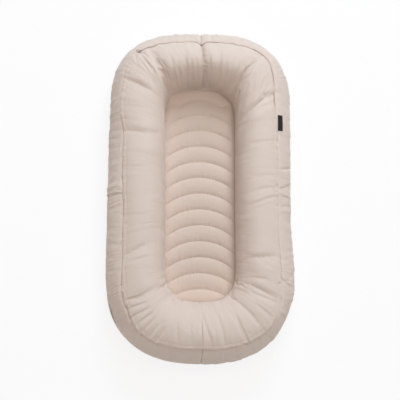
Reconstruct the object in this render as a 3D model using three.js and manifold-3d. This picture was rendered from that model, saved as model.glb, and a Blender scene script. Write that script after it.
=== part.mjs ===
// Infant lounger: a flat quilted lying panel with one thick, gathered, fibre-filled bumper all round it.
//
// Millimetres, +Z up. The origin is on the floor under the middle of the lounger, +Y points to the
// head end and +X to the right of a viewer who stands at the foot end.
//
// The removable cover is a gathered bumper panel in two halves, a side band, a quilted centre panel
// and a base panel. Inside are a casing, the two lengths of its filling and a thin pad. The left side
// band opens with a zip from half way along the side to the middle of the foot end.

import * as THREE from 'three';
import Module from 'manifold-3d';
import { mergeVertices } from 'three/addons/utils/BufferGeometryUtils.js';

const wasm = await Module();
wasm.setup();

// Overall size

const loungerLength = 820;
const headWidth = 444;
const footWidth = 460;
const loungerHeight = 140;
const gap = 0.3; // clearance between pieces that touch

// Outline in plan: straight sides and two superelliptic ends

const headCornerLength = 185;
const footCornerLength = 195;
const headSquareness = 2.8;
const footSquareness = 2.35;

// Lying panel, seen inside the bumper

const panelWidth = 180;
const bumperWidthAtHead = 130;
const bumperWidthAtFoot = 146;
const panelCornerLength = 84;
const panelSquareness = 2.5;
const panelBottomHeight = 17.3;
const panelStitchedThickness = 2;
const panelPuffRise = 5.5;
const panelEdgeClearance = 2.6;
const innerSeamHeight = 24;

// Arched channel quilting, with a plain border at the head end

const channelPitch = 40;
const channelArchRadius = 130;
const plainBorderLength = 25;
const borderRise = 2.4;

// Side band and the seam above it

const topSeamInset = 40; // along the sides
const topSeamInsetAtEnds = 31;
const topSeamHeight = 120;
const baseSeamInset = 13;
const baseSeamHeight = 4;
const lapJoinPlace = 0; // how far the lapped join lies toward the head from the middle

// Cloth and seams

const coverThickness = 1.6;
const casingThickness = 1;
const topSeamWidth = 2.4;
const topSeamStand = 2.6;
const lowSeamWidth = 2;
const baseSeamWidth = 2.6;
const innerSeamStand = 5.4;

// Inner cushion

const casingInset = 5; // how far the casing's lower edge lies inside the base seam
const casingWallInset = 2.2; // how far the casing's inner wall lies behind the inner seam

// Creases that cross the bumper at the head end, and shallower gathers between them and at the foot end

const creaseDepth = 13;
const creaseHalfWidth = 16;
const creasePlaceShares = [0.49, 1]; // along the head corner, from the side to the middle
const gatherDepth = 4;

// Zip

const zipHeight = 40;
const zipOpening = 10;
const tapeWidth = 12;
const tapeThickness = 0.8;
const chainSlot = 1.7;
const coilWidth = 2.2;
const coilThickness = 1;
const bandFlatMargin = 2; // flat band above and below the tapes
const stopLength = 3;
const stopThickness = 0.6;

// Zip slider and pull

const sliderLength = 11;
const sliderWidth = 8.8;
const sliderPlateThickness = 1.2;
const sliderFlangeThickness = 0.9;
const sliderClearance = 0.4;
const sliderNeckLength = 2.6;
const bridgeLength = 6;
const bridgeWidth = 1.6;
const bridgePostThickness = 0.6;
const pullPinRadius = 0.55;
const pullPinClearance = 0.25;
const pullLength = 24;
const pullWidth = 6.4;
const pullThickness = 1;
const pullArmWidth = 1;

// Label, sewn into the outer seam on the right side

const labelLength = 40;
const labelHeight = 15;
const labelThickness = 0.8;
const labelPlace = 179; // its middle, toward the head from the middle of the lounger

// Fineness of the facets

const footCornerSteps = 12;
const sideStepsPerPart = 4;
const headCornerSteps = 11;
const panelRows = 50;
const panelColumns = 12;
const arcSamples = 400;
const rowEdgeRounds = 6; // rounds of finding where a bowed row meets the panel's edge
const pinSides = 12;
const pullCurveSteps = 5;

// Shapes of the section, as shares chosen by hand

// Band below the flat stretch: share of the base seam's inset, share of the height up to the flat
const lowBandShares = [[0.3, 0.45]];
// Band above the flat stretch: share of the top seam's inset, share of the height up to that seam
const highBandShares = [[0.12, 0.42], [0.42, 0.77]];
// Crown, outer side: share of the way from seam to seam, share of the rise from the top seam
const outerCrownShares = [[0.16, 0.62], [0.42, 1]];
// Crown, inner side: share of the way from seam to seam, share of the rise from the inner seam
const innerCrownShares = [[0.66, 0.95], [0.85, 0.72], [0.96, 0.38]];
// Turn into a corner over which the top seam's inset changes, as a share of the whole corner's turn
const insetTurnShare = 0.55;
// Least distance of a plain station from a crease, in crease half widths
const creaseKeepOutShare = 1.3;
// Depth of a crease at the crown's points, from the top seam to the inner seam
const creaseDepthShares = [0.1, 0.45, 0.8, 1, 0.9, 0.45, 0];
// Depth of a gather at the same points
const gatherDepthShares = [0, 0.9, 0.4, 0.3, 0.6, 0.7, 0];

// Flat tip of the panel's first and last row, and the run over which rows take up the stitching's bow,
// as shares of the panel's corner
const panelTipShare = 0.02;
const bowRunShare = 1.6;
// Soft edge of the plain border, as a share of its length
const borderEdgeShare = 0.25;
// Rounding of the pull's end, as a share of its width
const pullCornerShare = 0.25;

// Sizes that follow

const halfLength = loungerLength / 2;
const bandFlatHalf = tapeWidth + bandFlatMargin;
const tapeBack = coverThickness + gap + tapeThickness;
const sliderRearFace = tapeBack + sliderClearance;
const sliderRearBack = sliderRearFace + sliderPlateThickness;
const casingOffset = coverThickness + gap;
const casingBaseHeight = coverThickness + gap;
const fillingBaseHeight = casingBaseHeight + casingThickness + gap;
const baseRim = baseSeamInset + baseSeamWidth / 2 + gap;

const outerLoop = {
  halfWidthAtHead: headWidth / 2,
  halfWidthAtFoot: footWidth / 2,
  headTip: halfLength,
  footTip: -halfLength,
  headCorner: headCornerLength,
  footCorner: footCornerLength,
  headSquareness,
  footSquareness,
};

const innerLoop = {
  halfWidthAtHead: panelWidth / 2,
  halfWidthAtFoot: panelWidth / 2,
  headTip: halfLength - bumperWidthAtHead,
  footTip: bumperWidthAtFoot - halfLength,
  headCorner: panelCornerLength,
  footCorner: panelCornerLength,
  headSquareness: panelSquareness,
  footSquareness: panelSquareness,
};

// Plan outline

// The point of a quarter superellipse whose outward normal stands at the given angle to the side.
function cornerPoint(halfWidth, cornerLength, squareness, angle) {
  const power = squareness / (squareness - 1);
  const across = (halfWidth * Math.max(Math.cos(angle), 0)) ** power;
  const along = (cornerLength * Math.sin(angle)) ** power;
  return [
    halfWidth * (across / (across + along)) ** (1 / squareness),
    cornerLength * (along / (across + along)) ** (1 / squareness),
  ];
}

// A spot names a place on the right half of any loop: an angle in a corner, a share of the side.
function loopPoint(loop, spot) {
  const headStart = loop.headTip - loop.headCorner;
  const footStart = loop.footTip + loop.footCorner;
  if (spot.zone === 'side') {
    return [
      THREE.MathUtils.lerp(loop.halfWidthAtFoot, loop.halfWidthAtHead, spot.share),
      THREE.MathUtils.lerp(footStart, headStart, spot.share),
    ];
  }
  if (spot.zone === 'head') {
    const [x, y] = cornerPoint(loop.halfWidthAtHead, loop.headCorner, loop.headSquareness, spot.angle);
    return [x, headStart + y];
  }
  const [x, y] = cornerPoint(loop.halfWidthAtFoot, loop.footCorner, loop.footSquareness, spot.angle);
  return [x, footStart - y];
}

// The angle in a corner of the outer loop at each distance from the side, by summing short chords.
function cornerRuler(zone) {
  const angles = [0];
  const distances = [0];
  let last = loopPoint(outerLoop, { zone, angle: 0 });
  for (let i = 1; i <= arcSamples; i += 1) {
    const angle = (Math.PI / 2) * (i / arcSamples);
    const point = loopPoint(outerLoop, { zone, angle });
    angles.push(angle);
    distances.push(distances[i - 1] + Math.hypot(point[0] - last[0], point[1] - last[1]));
    last = point;
  }
  const total = distances[arcSamples];
  const angleAt = (distance) => {
    const i = Math.max(1, distances.findIndex((d) => d >= distance));
    const share = (distance - distances[i - 1]) / (distances[i] - distances[i - 1]);
    return THREE.MathUtils.lerp(angles[i - 1], angles[i], share);
  };
  return { total, angleAt };
}

const headRuler = cornerRuler('head');
const footRuler = cornerRuler('foot');
const sideFootY = outerLoop.footTip + outerLoop.footCorner;
const sideHeadY = outerLoop.headTip - outerLoop.headCorner;
const sideTaper = Math.atan2((footWidth - headWidth) / 2, sideHeadY - sideFootY);
const sideShareAt = (y) => (y - sideFootY) / (sideHeadY - sideFootY);
const lapJoinShare = sideShareAt(lapJoinPlace);

// How far the top seam lies inside the outer loop: less at the two ends than along the sides.
function seamInsetAt(spot) {
  if (spot.zone === 'side') return topSeamInset;
  const turned = THREE.MathUtils.smoothstep(spot.angle, 0, (Math.PI / 2) * insetTurnShare);
  return THREE.MathUtils.lerp(topSeamInset, topSeamInsetAtEnds, turned);
}

// A station: its point on the outer loop, the inward direction there, the point under the top seam and
// its inset, the direction on to the inner loop, the whole reach between the loops, and whether a crease
// or a gather runs there.
function stationAt(spot, { crease = 0, gather = 0 } = {}) {
  const outer = loopPoint(outerLoop, spot);
  const inner = loopPoint(innerLoop, spot);
  let angle = sideTaper;
  if (spot.zone === 'head') angle = Math.max(spot.angle, sideTaper);
  if (spot.zone === 'foot') angle = -spot.angle;
  const inward = [-Math.cos(angle), -Math.sin(angle)];
  const seamInset = seamInsetAt(spot);
  const seam = [outer[0] + inward[0] * seamInset, outer[1] + inward[1] * seamInset];
  const onward = new THREE.Vector2(inner[0] - seam[0], inner[1] - seam[1]);
  const reach = seamInset + onward.length();
  onward.normalize();
  return { outer, inward, seam, seamInset, onward, reach, crease, gather, shift: [0, 0] };
}

function shifted(station, dx, dy) {
  return { ...station, shift: [dx, dy] };
}

// The plan position of a station's point that lies q inside the outer loop.
function planPoint(station, q) {
  const [dx, dy] = station.shift;
  if (q <= station.seamInset) {
    return [station.outer[0] + station.inward[0] * q + dx, station.outer[1] + station.inward[1] * q + dy];
  }
  const rest = q - station.seamInset;
  return [station.seam[0] + station.onward.x * rest + dx, station.seam[1] + station.onward.y * rest + dy];
}

function headDistances() {
  const creases = creasePlaceShares.map((share) => share * headRuler.total);
  const clearOf = (d) => creases.every((c) => Math.abs(d - c) > creaseHalfWidth * creaseKeepOutShare);
  const even = [];
  for (let i = 1; i < headCornerSteps; i += 1) {
    const distance = headRuler.total * (i / headCornerSteps);
    if (clearOf(distance)) even.push({ distance, crease: 0, gather: i % 2 });
  }
  creases.forEach((centre) => {
    even.push({ distance: centre - creaseHalfWidth }, { distance: centre, crease: 1 });
    if (centre < headRuler.total) even.push({ distance: centre + creaseHalfWidth });
  });
  return even.sort((a, b) => a.distance - b.distance);
}

// Stations of the right half, from the middle of the foot end to the middle of the head end.
function footStations() {
  const stations = [];
  for (let i = footCornerSteps; i > 0; i -= 1) {
    const angle = footRuler.angleAt(footRuler.total * (i / footCornerSteps));
    stations.push(stationAt({ zone: 'foot', angle }, { gather: i % 2 }));
  }
  return stations;
}

function sideStations(fromShare, toShare) {
  const stations = [];
  for (let i = 0; i <= sideStepsPerPart; i += 1) {
    const share = THREE.MathUtils.lerp(fromShare, toShare, i / sideStepsPerPart);
    stations.push(stationAt({ zone: 'side', share }));
  }
  return stations;
}

function headStations() {
  return headDistances().map(({ distance, ...folds }) => (
    stationAt({ zone: 'head', angle: headRuler.angleAt(distance) }, folds)
  ));
}

const stationsToJoin = [...footStations(), ...sideStations(0, lapJoinShare)];
const stationsFromJoin = [...sideStations(lapJoinShare, 1), ...headStations()];
const halfStations = [...stationsToJoin, ...stationsFromJoin.slice(1)];

// Ends that meet the same piece of the other half stop half a gap short of the middle plane.
function endedAtMiddle(stations, atStart, atEnd) {
  return stations.map((station, i) => {
    if (atStart && i === 0) return shifted(station, gap / 2, 0);
    if (atEnd && i === stations.length - 1) return shifted(station, gap / 2, 0);
    return station;
  });
}

// Section of the cover, from the base seam over the band and the crown to the inner seam

function inwardNormals(points) {
  return points.map((point, i) => {
    const before = points[Math.max(i - 1, 0)];
    const after = points[Math.min(i + 1, points.length - 1)];
    const along = new THREE.Vector2(after[0] - before[0], after[1] - before[1]).normalize();
    return [along.y, -along.x];
  });
}

function coverSection(station) {
  const flatFoot = zipHeight - bandFlatHalf;
  const flatTop = zipHeight + bandFlatHalf;
  const { seamInset } = station;
  const crownWidth = station.reach - seamInset;
  const band = [
    [baseSeamInset, baseSeamHeight],
    ...lowBandShares.map(([inset, rise]) => [
      baseSeamInset * inset, THREE.MathUtils.lerp(baseSeamHeight, flatFoot, rise)]),
    [0, flatFoot],
    [0, flatTop],
    ...highBandShares.map(([inset, rise]) => [
      seamInset * inset, THREE.MathUtils.lerp(flatTop, topSeamHeight, rise)]),
  ];
  const crown = [
    [seamInset, topSeamHeight],
    ...outerCrownShares.map(([across, rise]) => [
      seamInset + crownWidth * across, THREE.MathUtils.lerp(topSeamHeight, loungerHeight, rise)]),
    ...innerCrownShares.map(([across, rise]) => [
      seamInset + crownWidth * across, THREE.MathUtils.lerp(innerSeamHeight, loungerHeight, rise)]),
    [station.reach, innerSeamHeight],
  ];
  const points = [...band, ...crown];
  const normals = inwardNormals(points);
  crown.forEach((point, i) => {
    const normal = normals[band.length + i];
    const sink = creaseDepth * station.crease * creaseDepthShares[i]
      + gatherDepth * station.gather * gatherDepthShares[i];
    points[band.length + i] = [point[0] + normal[0] * sink, point[1] + normal[1] * sink];
  });
  const distances = [0];
  points.slice(1).forEach((point, i) => {
    distances.push(distances[i] + Math.hypot(point[0] - points[i][0], point[1] - points[i][1]));
  });
  const flatFootIndex = 1 + lowBandShares.length;
  return {
    points,
    normals,
    distances,
    flatFootIndex,
    flatTopIndex: flatFootIndex + 1,
    seamIndex: band.length,
    lastIndex: points.length - 1,
  };
}

// The part of a section between two distances along it, with its points and their normals.
function sectionStretch(section, from, to) {
  const { points, normals, distances } = section;
  const at = (distance) => {
    const i = Math.min(Math.max(1, distances.findIndex((d) => d >= distance)), distances.length - 1);
    const share = (distance - distances[i - 1]) / (distances[i] - distances[i - 1]);
    const mix = (list) => [0, 1].map((k) => THREE.MathUtils.lerp(list[i - 1][k], list[i][k], share));
    return { point: mix(points), normal: mix(normals) };
  };
  const inside = points
    .map((point, i) => ({ point, normal: normals[i], distance: distances[i] }))
    .filter(({ distance }) => distance > from && distance < to);
  return [at(from), ...inside, at(to)];
}

// A closed strip of cloth: the stretch's points moved in by one depth, and back at a deeper one.
function clothStrip(stretch, depth, thickness) {
  const moved = (by) => stretch.map(({ point, normal }) => (
    [point[0] + normal[0] * by, point[1] + normal[1] * by]
  ));
  return [...moved(depth), ...moved(depth + thickness).reverse()];
}

// Solids from sections

function signedVolume(positions, indices) {
  const corner = (i) => new THREE.Vector3().fromArray(positions, indices[i] * 3);
  let total = 0;
  for (let i = 0; i < indices.length; i += 3) {
    total += corner(i).dot(corner(i + 1).cross(corner(i + 2)));
  }
  return total / 6;
}

function solidGeometry(positions, indices) {
  const outward = signedVolume(positions, indices) < 0 ? [...indices].reverse() : indices;
  const geometry = new THREE.BufferGeometry();
  geometry.setAttribute('position', new THREE.Float32BufferAttribute(positions, 3));
  geometry.setIndex(outward);
  geometry.computeVertexNormals();
  return geometry;
}

// Sweeps a section along stations. A mirrored sweep lies on the left half. The back of a cloth strip
// runs the other way round its section, so its facets are split on the other diagonal: cloth, casing
// and filling are then faceted alike and nest.
function sweep(stations, sectionOf, { mirrored = false, closed = false, strip = false } = {}) {
  const side = mirrored ? -1 : 1;
  const sections = stations.map((station) => sectionOf(station));
  const size = sections[0].length;
  const frontSize = strip ? size / 2 : size;
  const positions = [];
  stations.forEach((station, i) => {
    sections[i].forEach(([q, z]) => {
      const [x, y] = planPoint(station, q);
      positions.push(x * side * (station.side ?? 1), y, z);
    });
  });
  const indices = [];
  const spans = closed ? stations.length : stations.length - 1;
  for (let i = 0; i < spans; i += 1) {
    const next = (i + 1) % stations.length;
    for (let j = 0; j < size; j += 1) {
      const k = (j + 1) % size;
      const [a, b, c, d] = [i * size + j, i * size + k, next * size + k, next * size + j];
      indices.push(...(j < frontSize ? [a, b, c, a, c, d] : [a, b, d, b, c, d]));
    }
  }
  if (!closed) {
    [0, stations.length - 1].forEach((end) => {
      const outline = sections[end].map(([q, z]) => new THREE.Vector2(q, z));
      const faces = THREE.ShapeUtils.triangulateShape(outline, []);
      faces.forEach((face) => {
        const corners = face.map((v) => v + end * size);
        indices.push(...(end === 0 ? corners.reverse() : corners));
      });
    });
  }
  const turned = endsAgree(indices, positions, stations.length, size, closed);
  return solidGeometry(positions, turned);
}

// The end faces of an open sweep are turned to agree with its sides, edge by edge.
function endsAgree(indices, positions, count, size, closed) {
  if (closed) return indices;
  const sideTotal = (count - 1) * size * 6;
  const edges = new Set();
  for (let i = 0; i < sideTotal; i += 3) {
    for (let k = 0; k < 3; k += 1) edges.add(`${indices[i + k]},${indices[i + ((k + 1) % 3)]}`);
  }
  const caps = indices.slice(sideTotal);
  const clash = [0, 1, 2].some((k) => edges.has(`${caps[k]},${caps[(k + 1) % 3]}`));
  const fixed = [];
  for (let i = 0; i < caps.length; i += 3) {
    fixed.push(...(clash ? [caps[i + 2], caps[i + 1], caps[i]] : [caps[i], caps[i + 1], caps[i + 2]]));
  }
  return [...indices.slice(0, sideTotal), ...fixed];
}

// All stations of the whole loop: the right half, then the left half back to the foot end.
function wholeLoop() {
  const left = halfStations.slice(1, -1).reverse().map((station) => ({ ...station, side: -1 }));
  return [...halfStations, ...left];
}

// A flat sheet bounded by the loop that lies q inside the outer loop at each station.
function flatSheet(insetOf, bottom, thickness) {
  const outline = wholeLoop().map((station) => {
    const [x, y] = planPoint(station, insetOf(station));
    return new THREE.Vector2(x * (station.side ?? 1), y);
  });
  const geometry = new THREE.ExtrudeGeometry(new THREE.Shape(outline), {
    depth: thickness, bevelEnabled: false, steps: 1,
  });
  geometry.translate(0, 0, bottom);
  return geometry;
}

// Joining and cutting

function toManifold(geometry) {
  const bare = geometry.clone();
  bare.deleteAttribute('normal');
  bare.deleteAttribute('uv');
  const merged = mergeVertices(bare);
  return new wasm.Manifold(new wasm.Mesh({
    numProp: 3,
    vertProperties: new Float32Array(merged.attributes.position.array),
    triVerts: new Uint32Array(merged.index.array),
  }));
}

function toGeometry(manifold) {
  const mesh = manifold.getMesh();
  const geometry = new THREE.BufferGeometry();
  geometry.setAttribute('position', new THREE.Float32BufferAttribute(mesh.vertProperties, 3));
  geometry.setIndex(Array.from(mesh.triVerts));
  geometry.computeVertexNormals();
  return geometry;
}

function box(xLow, xHigh, yLow, yHigh, zLow, zHigh) {
  const geometry = new THREE.BoxGeometry(xHigh - xLow, yHigh - yLow, zHigh - zLow);
  geometry.translate((xLow + xHigh) / 2, (yLow + yHigh) / 2, (zLow + zHigh) / 2);
  return geometry;
}

function joined(geometries) {
  return toGeometry(geometries.map(toManifold).reduce((all, one) => all.add(one)));
}

// Materials

function cloth(color, roughness = 0.9) {
  return new THREE.MeshStandardMaterial({ color, roughness, metalness: 0 });
}

function zincFinish(color) {
  return new THREE.MeshStandardMaterial({ color, roughness: 0.4, metalness: 0.8 });
}

const coverCloth = () => cloth(0xddd2c9);
const panelCloth = () => cloth(0xd2c2b6);
const casingCloth = () => cloth(0xf1efec);
const fibre = () => cloth(0xf8f8f6, 1);
const seamThread = () => cloth(0xd4c6bb);
const zipTapeCloth = () => cloth(0xe4dcd2, 0.8);
const coilNylon = () => cloth(0xe9e2d8, 0.4);
const labelWeave = () => cloth(0x1b1b1d, 0.7);

const lounger = new THREE.Group();

function place(name, geometry, material, parent = lounger) {
  const mesh = new THREE.Mesh(geometry, material);
  mesh.name = name;
  parent.add(mesh);
  return mesh;
}

// Cover: bumper panel halves

const topSeamHalf = topSeamWidth / 2 + gap;

function bumperSection(station) {
  const section = coverSection(station);
  const from = section.distances[section.seamIndex] + topSeamHalf;
  const to = section.distances[section.lastIndex] - gap;
  return clothStrip(sectionStretch(section, from, to), 0, coverThickness);
}

function addBumperPanels() {
  const stations = endedAtMiddle(halfStations, true, true);
  place('bumper_panel_right', sweep(stations, bumperSection, { strip: true }), coverCloth());
  place('bumper_panel_left', sweep(stations, bumperSection, { strip: true, mirrored: true }), coverCloth());
}

// Cover: side band pieces

function bandSection(station, from = null, to = null) {
  const section = coverSection(station);
  const start = from === null ? 0 : from(section);
  const end = to === null ? section.distances[section.seamIndex] - topSeamHalf : to(section);
  return clothStrip(sectionStretch(section, start, end), 0, coverThickness);
}

const zipLineDistance = (section) => section.distances[section.flatFootIndex] + bandFlatHalf;
const aboveZip = (section) => zipLineDistance(section) + zipOpening / 2;
const belowZip = (section) => zipLineDistance(section) - zipOpening / 2;

function joinEnded(stations, index, dy) {
  return stations.map((station, i) => (i === index ? shifted(station, 0, dy) : station));
}

function addSideBand() {
  const right = endedAtMiddle(halfStations, true, true);
  place('side_band_right', sweep(right, (s) => bandSection(s), { strip: true }), coverCloth());

  const left = { strip: true, mirrored: true };
  const headPart = joinEnded(endedAtMiddle(stationsFromJoin, false, true), 0, gap / 2);
  place('side_band_left_head', sweep(headPart, (s) => bandSection(s), left), coverCloth());

  const last = stationsToJoin.length - 1;
  const footPart = joinEnded(endedAtMiddle(stationsToJoin, true, false), last, -gap / 2);
  const upper = sweep(footPart, (s) => bandSection(s, aboveZip), left);
  place('side_band_left_above_zip', upper, coverCloth());
  const lower = sweep(footPart, (s) => bandSection(s, null, belowZip), left);
  place('side_band_left_below_zip', lower, coverCloth());
  return footPart;
}

// Cover: seam edges

function topSeamSection(station) {
  const section = coverSection(station);
  const [q, z] = section.points[section.seamIndex];
  const [nq, nz] = section.normals[section.seamIndex];
  const half = topSeamWidth / 2;
  const at = (along, out) => [q - nz * along - nq * out, z + nq * along - nz * out];
  return [
    at(-half, -coverThickness), at(half, -coverThickness), at(half, topSeamStand / 2),
    at(0, topSeamStand), at(-half, topSeamStand / 2),
  ];
}

function innerSeamSection(station) {
  const near = station.reach + gap;
  const far = near + lowSeamWidth;
  return [
    [near, panelBottomHeight], [far, panelBottomHeight],
    [far, panelBottomHeight + innerSeamStand], [near, panelBottomHeight + innerSeamStand],
  ];
}

function baseSeamSection() {
  const near = baseSeamInset - baseSeamWidth / 2;
  const far = baseSeamInset + baseSeamWidth / 2;
  return [[near, gap], [far, gap], [far, baseSeamHeight - gap], [near, baseSeamHeight - gap]];
}

function addSeamEdges() {
  place('outer_seam_edge', sweep(wholeLoop(), topSeamSection, { closed: true }), seamThread());
  place('inner_seam_edge', sweep(wholeLoop(), innerSeamSection, { closed: true }), seamThread());
  place('base_seam_edge', sweep(wholeLoop(), baseSeamSection, { closed: true }), seamThread());
}

// Cover: quilted centre panel

const panelLoop = {
  halfWidth: panelWidth / 2 - panelEdgeClearance,
  headTip: innerLoop.headTip - panelEdgeClearance,
  footTip: innerLoop.footTip + panelEdgeClearance,
  corner: panelCornerLength - panelEdgeClearance,
};

function panelHalfWidth(y) {
  const intoHead = y - (panelLoop.headTip - panelLoop.corner);
  const intoFoot = panelLoop.footTip + panelLoop.corner - y;
  const share = Math.min(Math.max(intoHead, intoFoot, 0) / panelLoop.corner, 1);
  return panelLoop.halfWidth * (1 - share ** panelSquareness) ** (1 / panelSquareness);
}

function archDrop(x) {
  return channelArchRadius - Math.sqrt(Math.max(channelArchRadius ** 2 - x ** 2, 0));
}

const topStitchPlace = panelLoop.headTip - plainBorderLength;

// Height of the panel's face: puffs between arched lines of stitching, and a plain border above them.
function panelFaceHeight(x, y) {
  const stitched = panelBottomHeight + panelStitchedThickness;
  const intoChannels = topStitchPlace - (y + archDrop(x));
  if (intoChannels < 0) {
    return stitched + borderRise * Math.min(1, -intoChannels / (plainBorderLength * borderEdgeShare));
  }
  const wave = Math.abs(Math.sin((Math.PI * intoChannels) / channelPitch));
  return stitched + panelPuffRise * Math.sqrt(wave);
}

// Rows bow like the stitching, except toward the two tips.
function panelRow(share) {
  const tip = panelLoop.corner * panelTipShare;
  const middle = THREE.MathUtils.lerp(panelLoop.footTip + tip, panelLoop.headTip - tip, share);
  const fromTip = Math.min(middle - panelLoop.footTip, panelLoop.headTip - middle);
  const bow = THREE.MathUtils.smoothstep(fromTip, tip, panelLoop.corner * bowRunShare);
  let half = panelHalfWidth(middle);
  for (let i = 0; i < rowEdgeRounds; i += 1) half = panelHalfWidth(middle - bow * archDrop(half));
  const row = [];
  for (let c = 0; c <= panelColumns; c += 1) {
    const x = half * ((2 * c) / panelColumns - 1);
    row.push([x, middle - bow * archDrop(x)]);
  }
  return row;
}

function centrePanelGeometry() {
  const positions = [];
  const indices = [];
  const width = panelColumns + 1;
  for (let r = 0; r <= panelRows; r += 1) {
    panelRow(r / panelRows).forEach(([x, y]) => positions.push(x, y, panelFaceHeight(x, y)));
  }
  for (let r = 0; r < panelRows; r += 1) {
    for (let c = 0; c < panelColumns; c += 1) {
      const [a, b] = [r * width + c, (r + 1) * width + c];
      indices.push(a, a + 1, b + 1, a, b + 1, b);
    }
  }
  const rim = [];
  for (let c = 0; c < panelColumns; c += 1) rim.push(c);
  for (let r = 0; r < panelRows; r += 1) rim.push(r * width + panelColumns);
  for (let c = panelColumns; c > 0; c -= 1) rim.push(panelRows * width + c);
  for (let r = panelRows; r > 0; r -= 1) rim.push(r * width);
  const base = positions.length / 3;
  rim.forEach((v) => positions.push(positions[v * 3], positions[v * 3 + 1], panelBottomHeight));
  rim.forEach((v, i) => {
    const n = (i + 1) % rim.length;
    indices.push(v, base + i, base + n, v, base + n, rim[n]);
  });
  const outline = rim.map((v) => new THREE.Vector2(positions[v * 3], positions[v * 3 + 1]));
  THREE.ShapeUtils.triangulateShape(outline, []).forEach(([a, b, c]) => {
    indices.push(base + a, base + c, base + b);
  });
  return solidGeometry(positions, indices);
}

function addCentreAndBase() {
  place('centre_panel', centrePanelGeometry(), panelCloth());
  place('base_panel', flatSheet(() => baseRim, 0, coverThickness), coverCloth());
}

// Inner cushion

// The casing follows the cover, one gap behind it, but leaves room for the slider behind the zip.
function casingOutline(station) {
  const section = coverSection(station);
  const wall = sliderRearBack + gap;
  const followed = section.points
    .map((point, i) => ({ point, normal: section.normals[i], i }))
    .filter(({ i }) => i >= section.flatFootIndex && i !== section.seamIndex + 1)
    .map(({ point, normal }) => [
      Math.max(point[0] + normal[0] * casingOffset, wall), point[1] + normal[1] * casingOffset]);
  const outline = [
    [baseSeamInset + casingInset, fillingBaseHeight],
    ...followed,
    [station.reach - casingWallInset, fillingBaseHeight],
  ];
  const normals = inwardNormals(outline);
  normals[0] = [1, 0];
  normals[normals.length - 1] = [-1, 0];
  return outline.map((point, i) => ({ point, normal: normals[i] }));
}

function casingSection(station) {
  return clothStrip(casingOutline(station), 0, casingThickness);
}

function fillingSection(station) {
  const by = casingThickness + gap;
  return casingOutline(station).map(({ point, normal }) => (
    [point[0] + normal[0] * by, point[1] + normal[1] * by]
  ));
}

function addInnerCushion() {
  const stations = endedAtMiddle(halfStations, true, true);
  place('bolster_filling_right', sweep(stations, fillingSection), fibre());
  place('bolster_filling_left', sweep(stations, fillingSection, { mirrored: true }), fibre());
  place('casing_right', sweep(stations, casingSection, { strip: true }), casingCloth());
  place('casing_left', sweep(stations, casingSection, { strip: true, mirrored: true }), casingCloth());
  place('casing_base', flatSheet(() => baseRim, casingBaseHeight, casingThickness), casingCloth());
  const padRim = (station) => station.reach - casingWallInset + gap;
  const padThickness = panelBottomHeight - gap - fillingBaseHeight;
  place('centre_pad', flatSheet(padRim, fillingBaseHeight, padThickness), fibre());
}

// Zip, in the left half of the band

function tapeSection(side) {
  const near = zipHeight + (side * chainSlot) / 2;
  const far = zipHeight + side * tapeWidth;
  const front = coverThickness + gap;
  return () => [[front, near], [front, far], [tapeBack, far], [tapeBack, near]];
}

const coilBack = coverThickness;
const coilFront = coilBack - coilThickness;
const sliderPlateInner = sliderClearance - coilFront;
const pullPinPlace = sliderPlateInner + sliderPlateThickness + pullPinClearance + pullPinRadius;

function coilSection(side) {
  const near = zipHeight + (side * chainSlot) / 2;
  const far = near + side * coilWidth;
  return () => [[coilFront, near], [coilFront, far], [coilBack, far], [coilBack, near]];
}

const zipFrameTurn = Math.PI - sideTaper;

// A frame on the zip's line: x out of the band, y along the zip toward its foot end, z up.
function frameAt(x, y, turn) {
  const frame = new THREE.Group();
  frame.position.set(x, y, zipHeight);
  frame.rotation.z = turn;
  lounger.add(frame);
  return frame;
}

function sideFrame(y) {
  const [x] = loopPoint(outerLoop, { zone: 'side', share: sideShareAt(y) });
  return frameAt(-x, y, zipFrameTurn);
}

function footMiddleFrame() {
  return frameAt(-gap / 2 - stopLength / 2, outerLoop.footTip, -Math.PI / 2);
}

function stopGeometry() {
  const half = chainSlot / 2 + coilWidth;
  const back = gap - coilFront;
  return box(back, back + stopThickness, -stopLength / 2, stopLength / 2, -half, half);
}

function sliderGeometry() {
  const plateInner = sliderPlateInner;
  const plateOuter = plateInner + sliderPlateThickness;
  const halfLengthY = sliderLength / 2;
  const halfWidth = sliderWidth / 2;
  const flangeInner = -(coilBack - gap / 2);
  const neckHalf = chainSlot / 2 - sliderClearance;
  const neckEnd = halfLengthY - sliderClearance;
  const bridgeInner = pullPinPlace + pullPinRadius + pullPinClearance;
  const bridgeOuter = bridgeInner + bridgePostThickness;
  const bridgeHalf = bridgeLength / 2;
  const flange = (side) => box(
    flangeInner, plateInner, -halfLengthY, halfLengthY,
    Math.min(side * halfWidth, side * (halfWidth - sliderFlangeThickness)),
    Math.max(side * halfWidth, side * (halfWidth - sliderFlangeThickness)),
  );
  const post = (y) => box(
    plateInner, bridgeOuter, y - bridgePostThickness / 2, y + bridgePostThickness / 2,
    -bridgeWidth / 2, bridgeWidth / 2,
  );
  return joined([
    box(plateInner, plateOuter, -halfLengthY, halfLengthY, -halfWidth, halfWidth),
    flange(1),
    flange(-1),
    box(-sliderRearBack, plateInner, neckEnd - sliderNeckLength, neckEnd, -neckHalf, neckHalf),
    box(-sliderRearBack, -sliderRearFace, -halfLengthY, halfLengthY, -halfWidth, halfWidth),
    post(bridgeHalf - bridgePostThickness / 2),
    post(bridgePostThickness / 2 - bridgeHalf),
    box(bridgeInner, bridgeOuter, -bridgeHalf, bridgeHalf, -bridgeWidth / 2, bridgeWidth / 2),
  ]);
}

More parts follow.
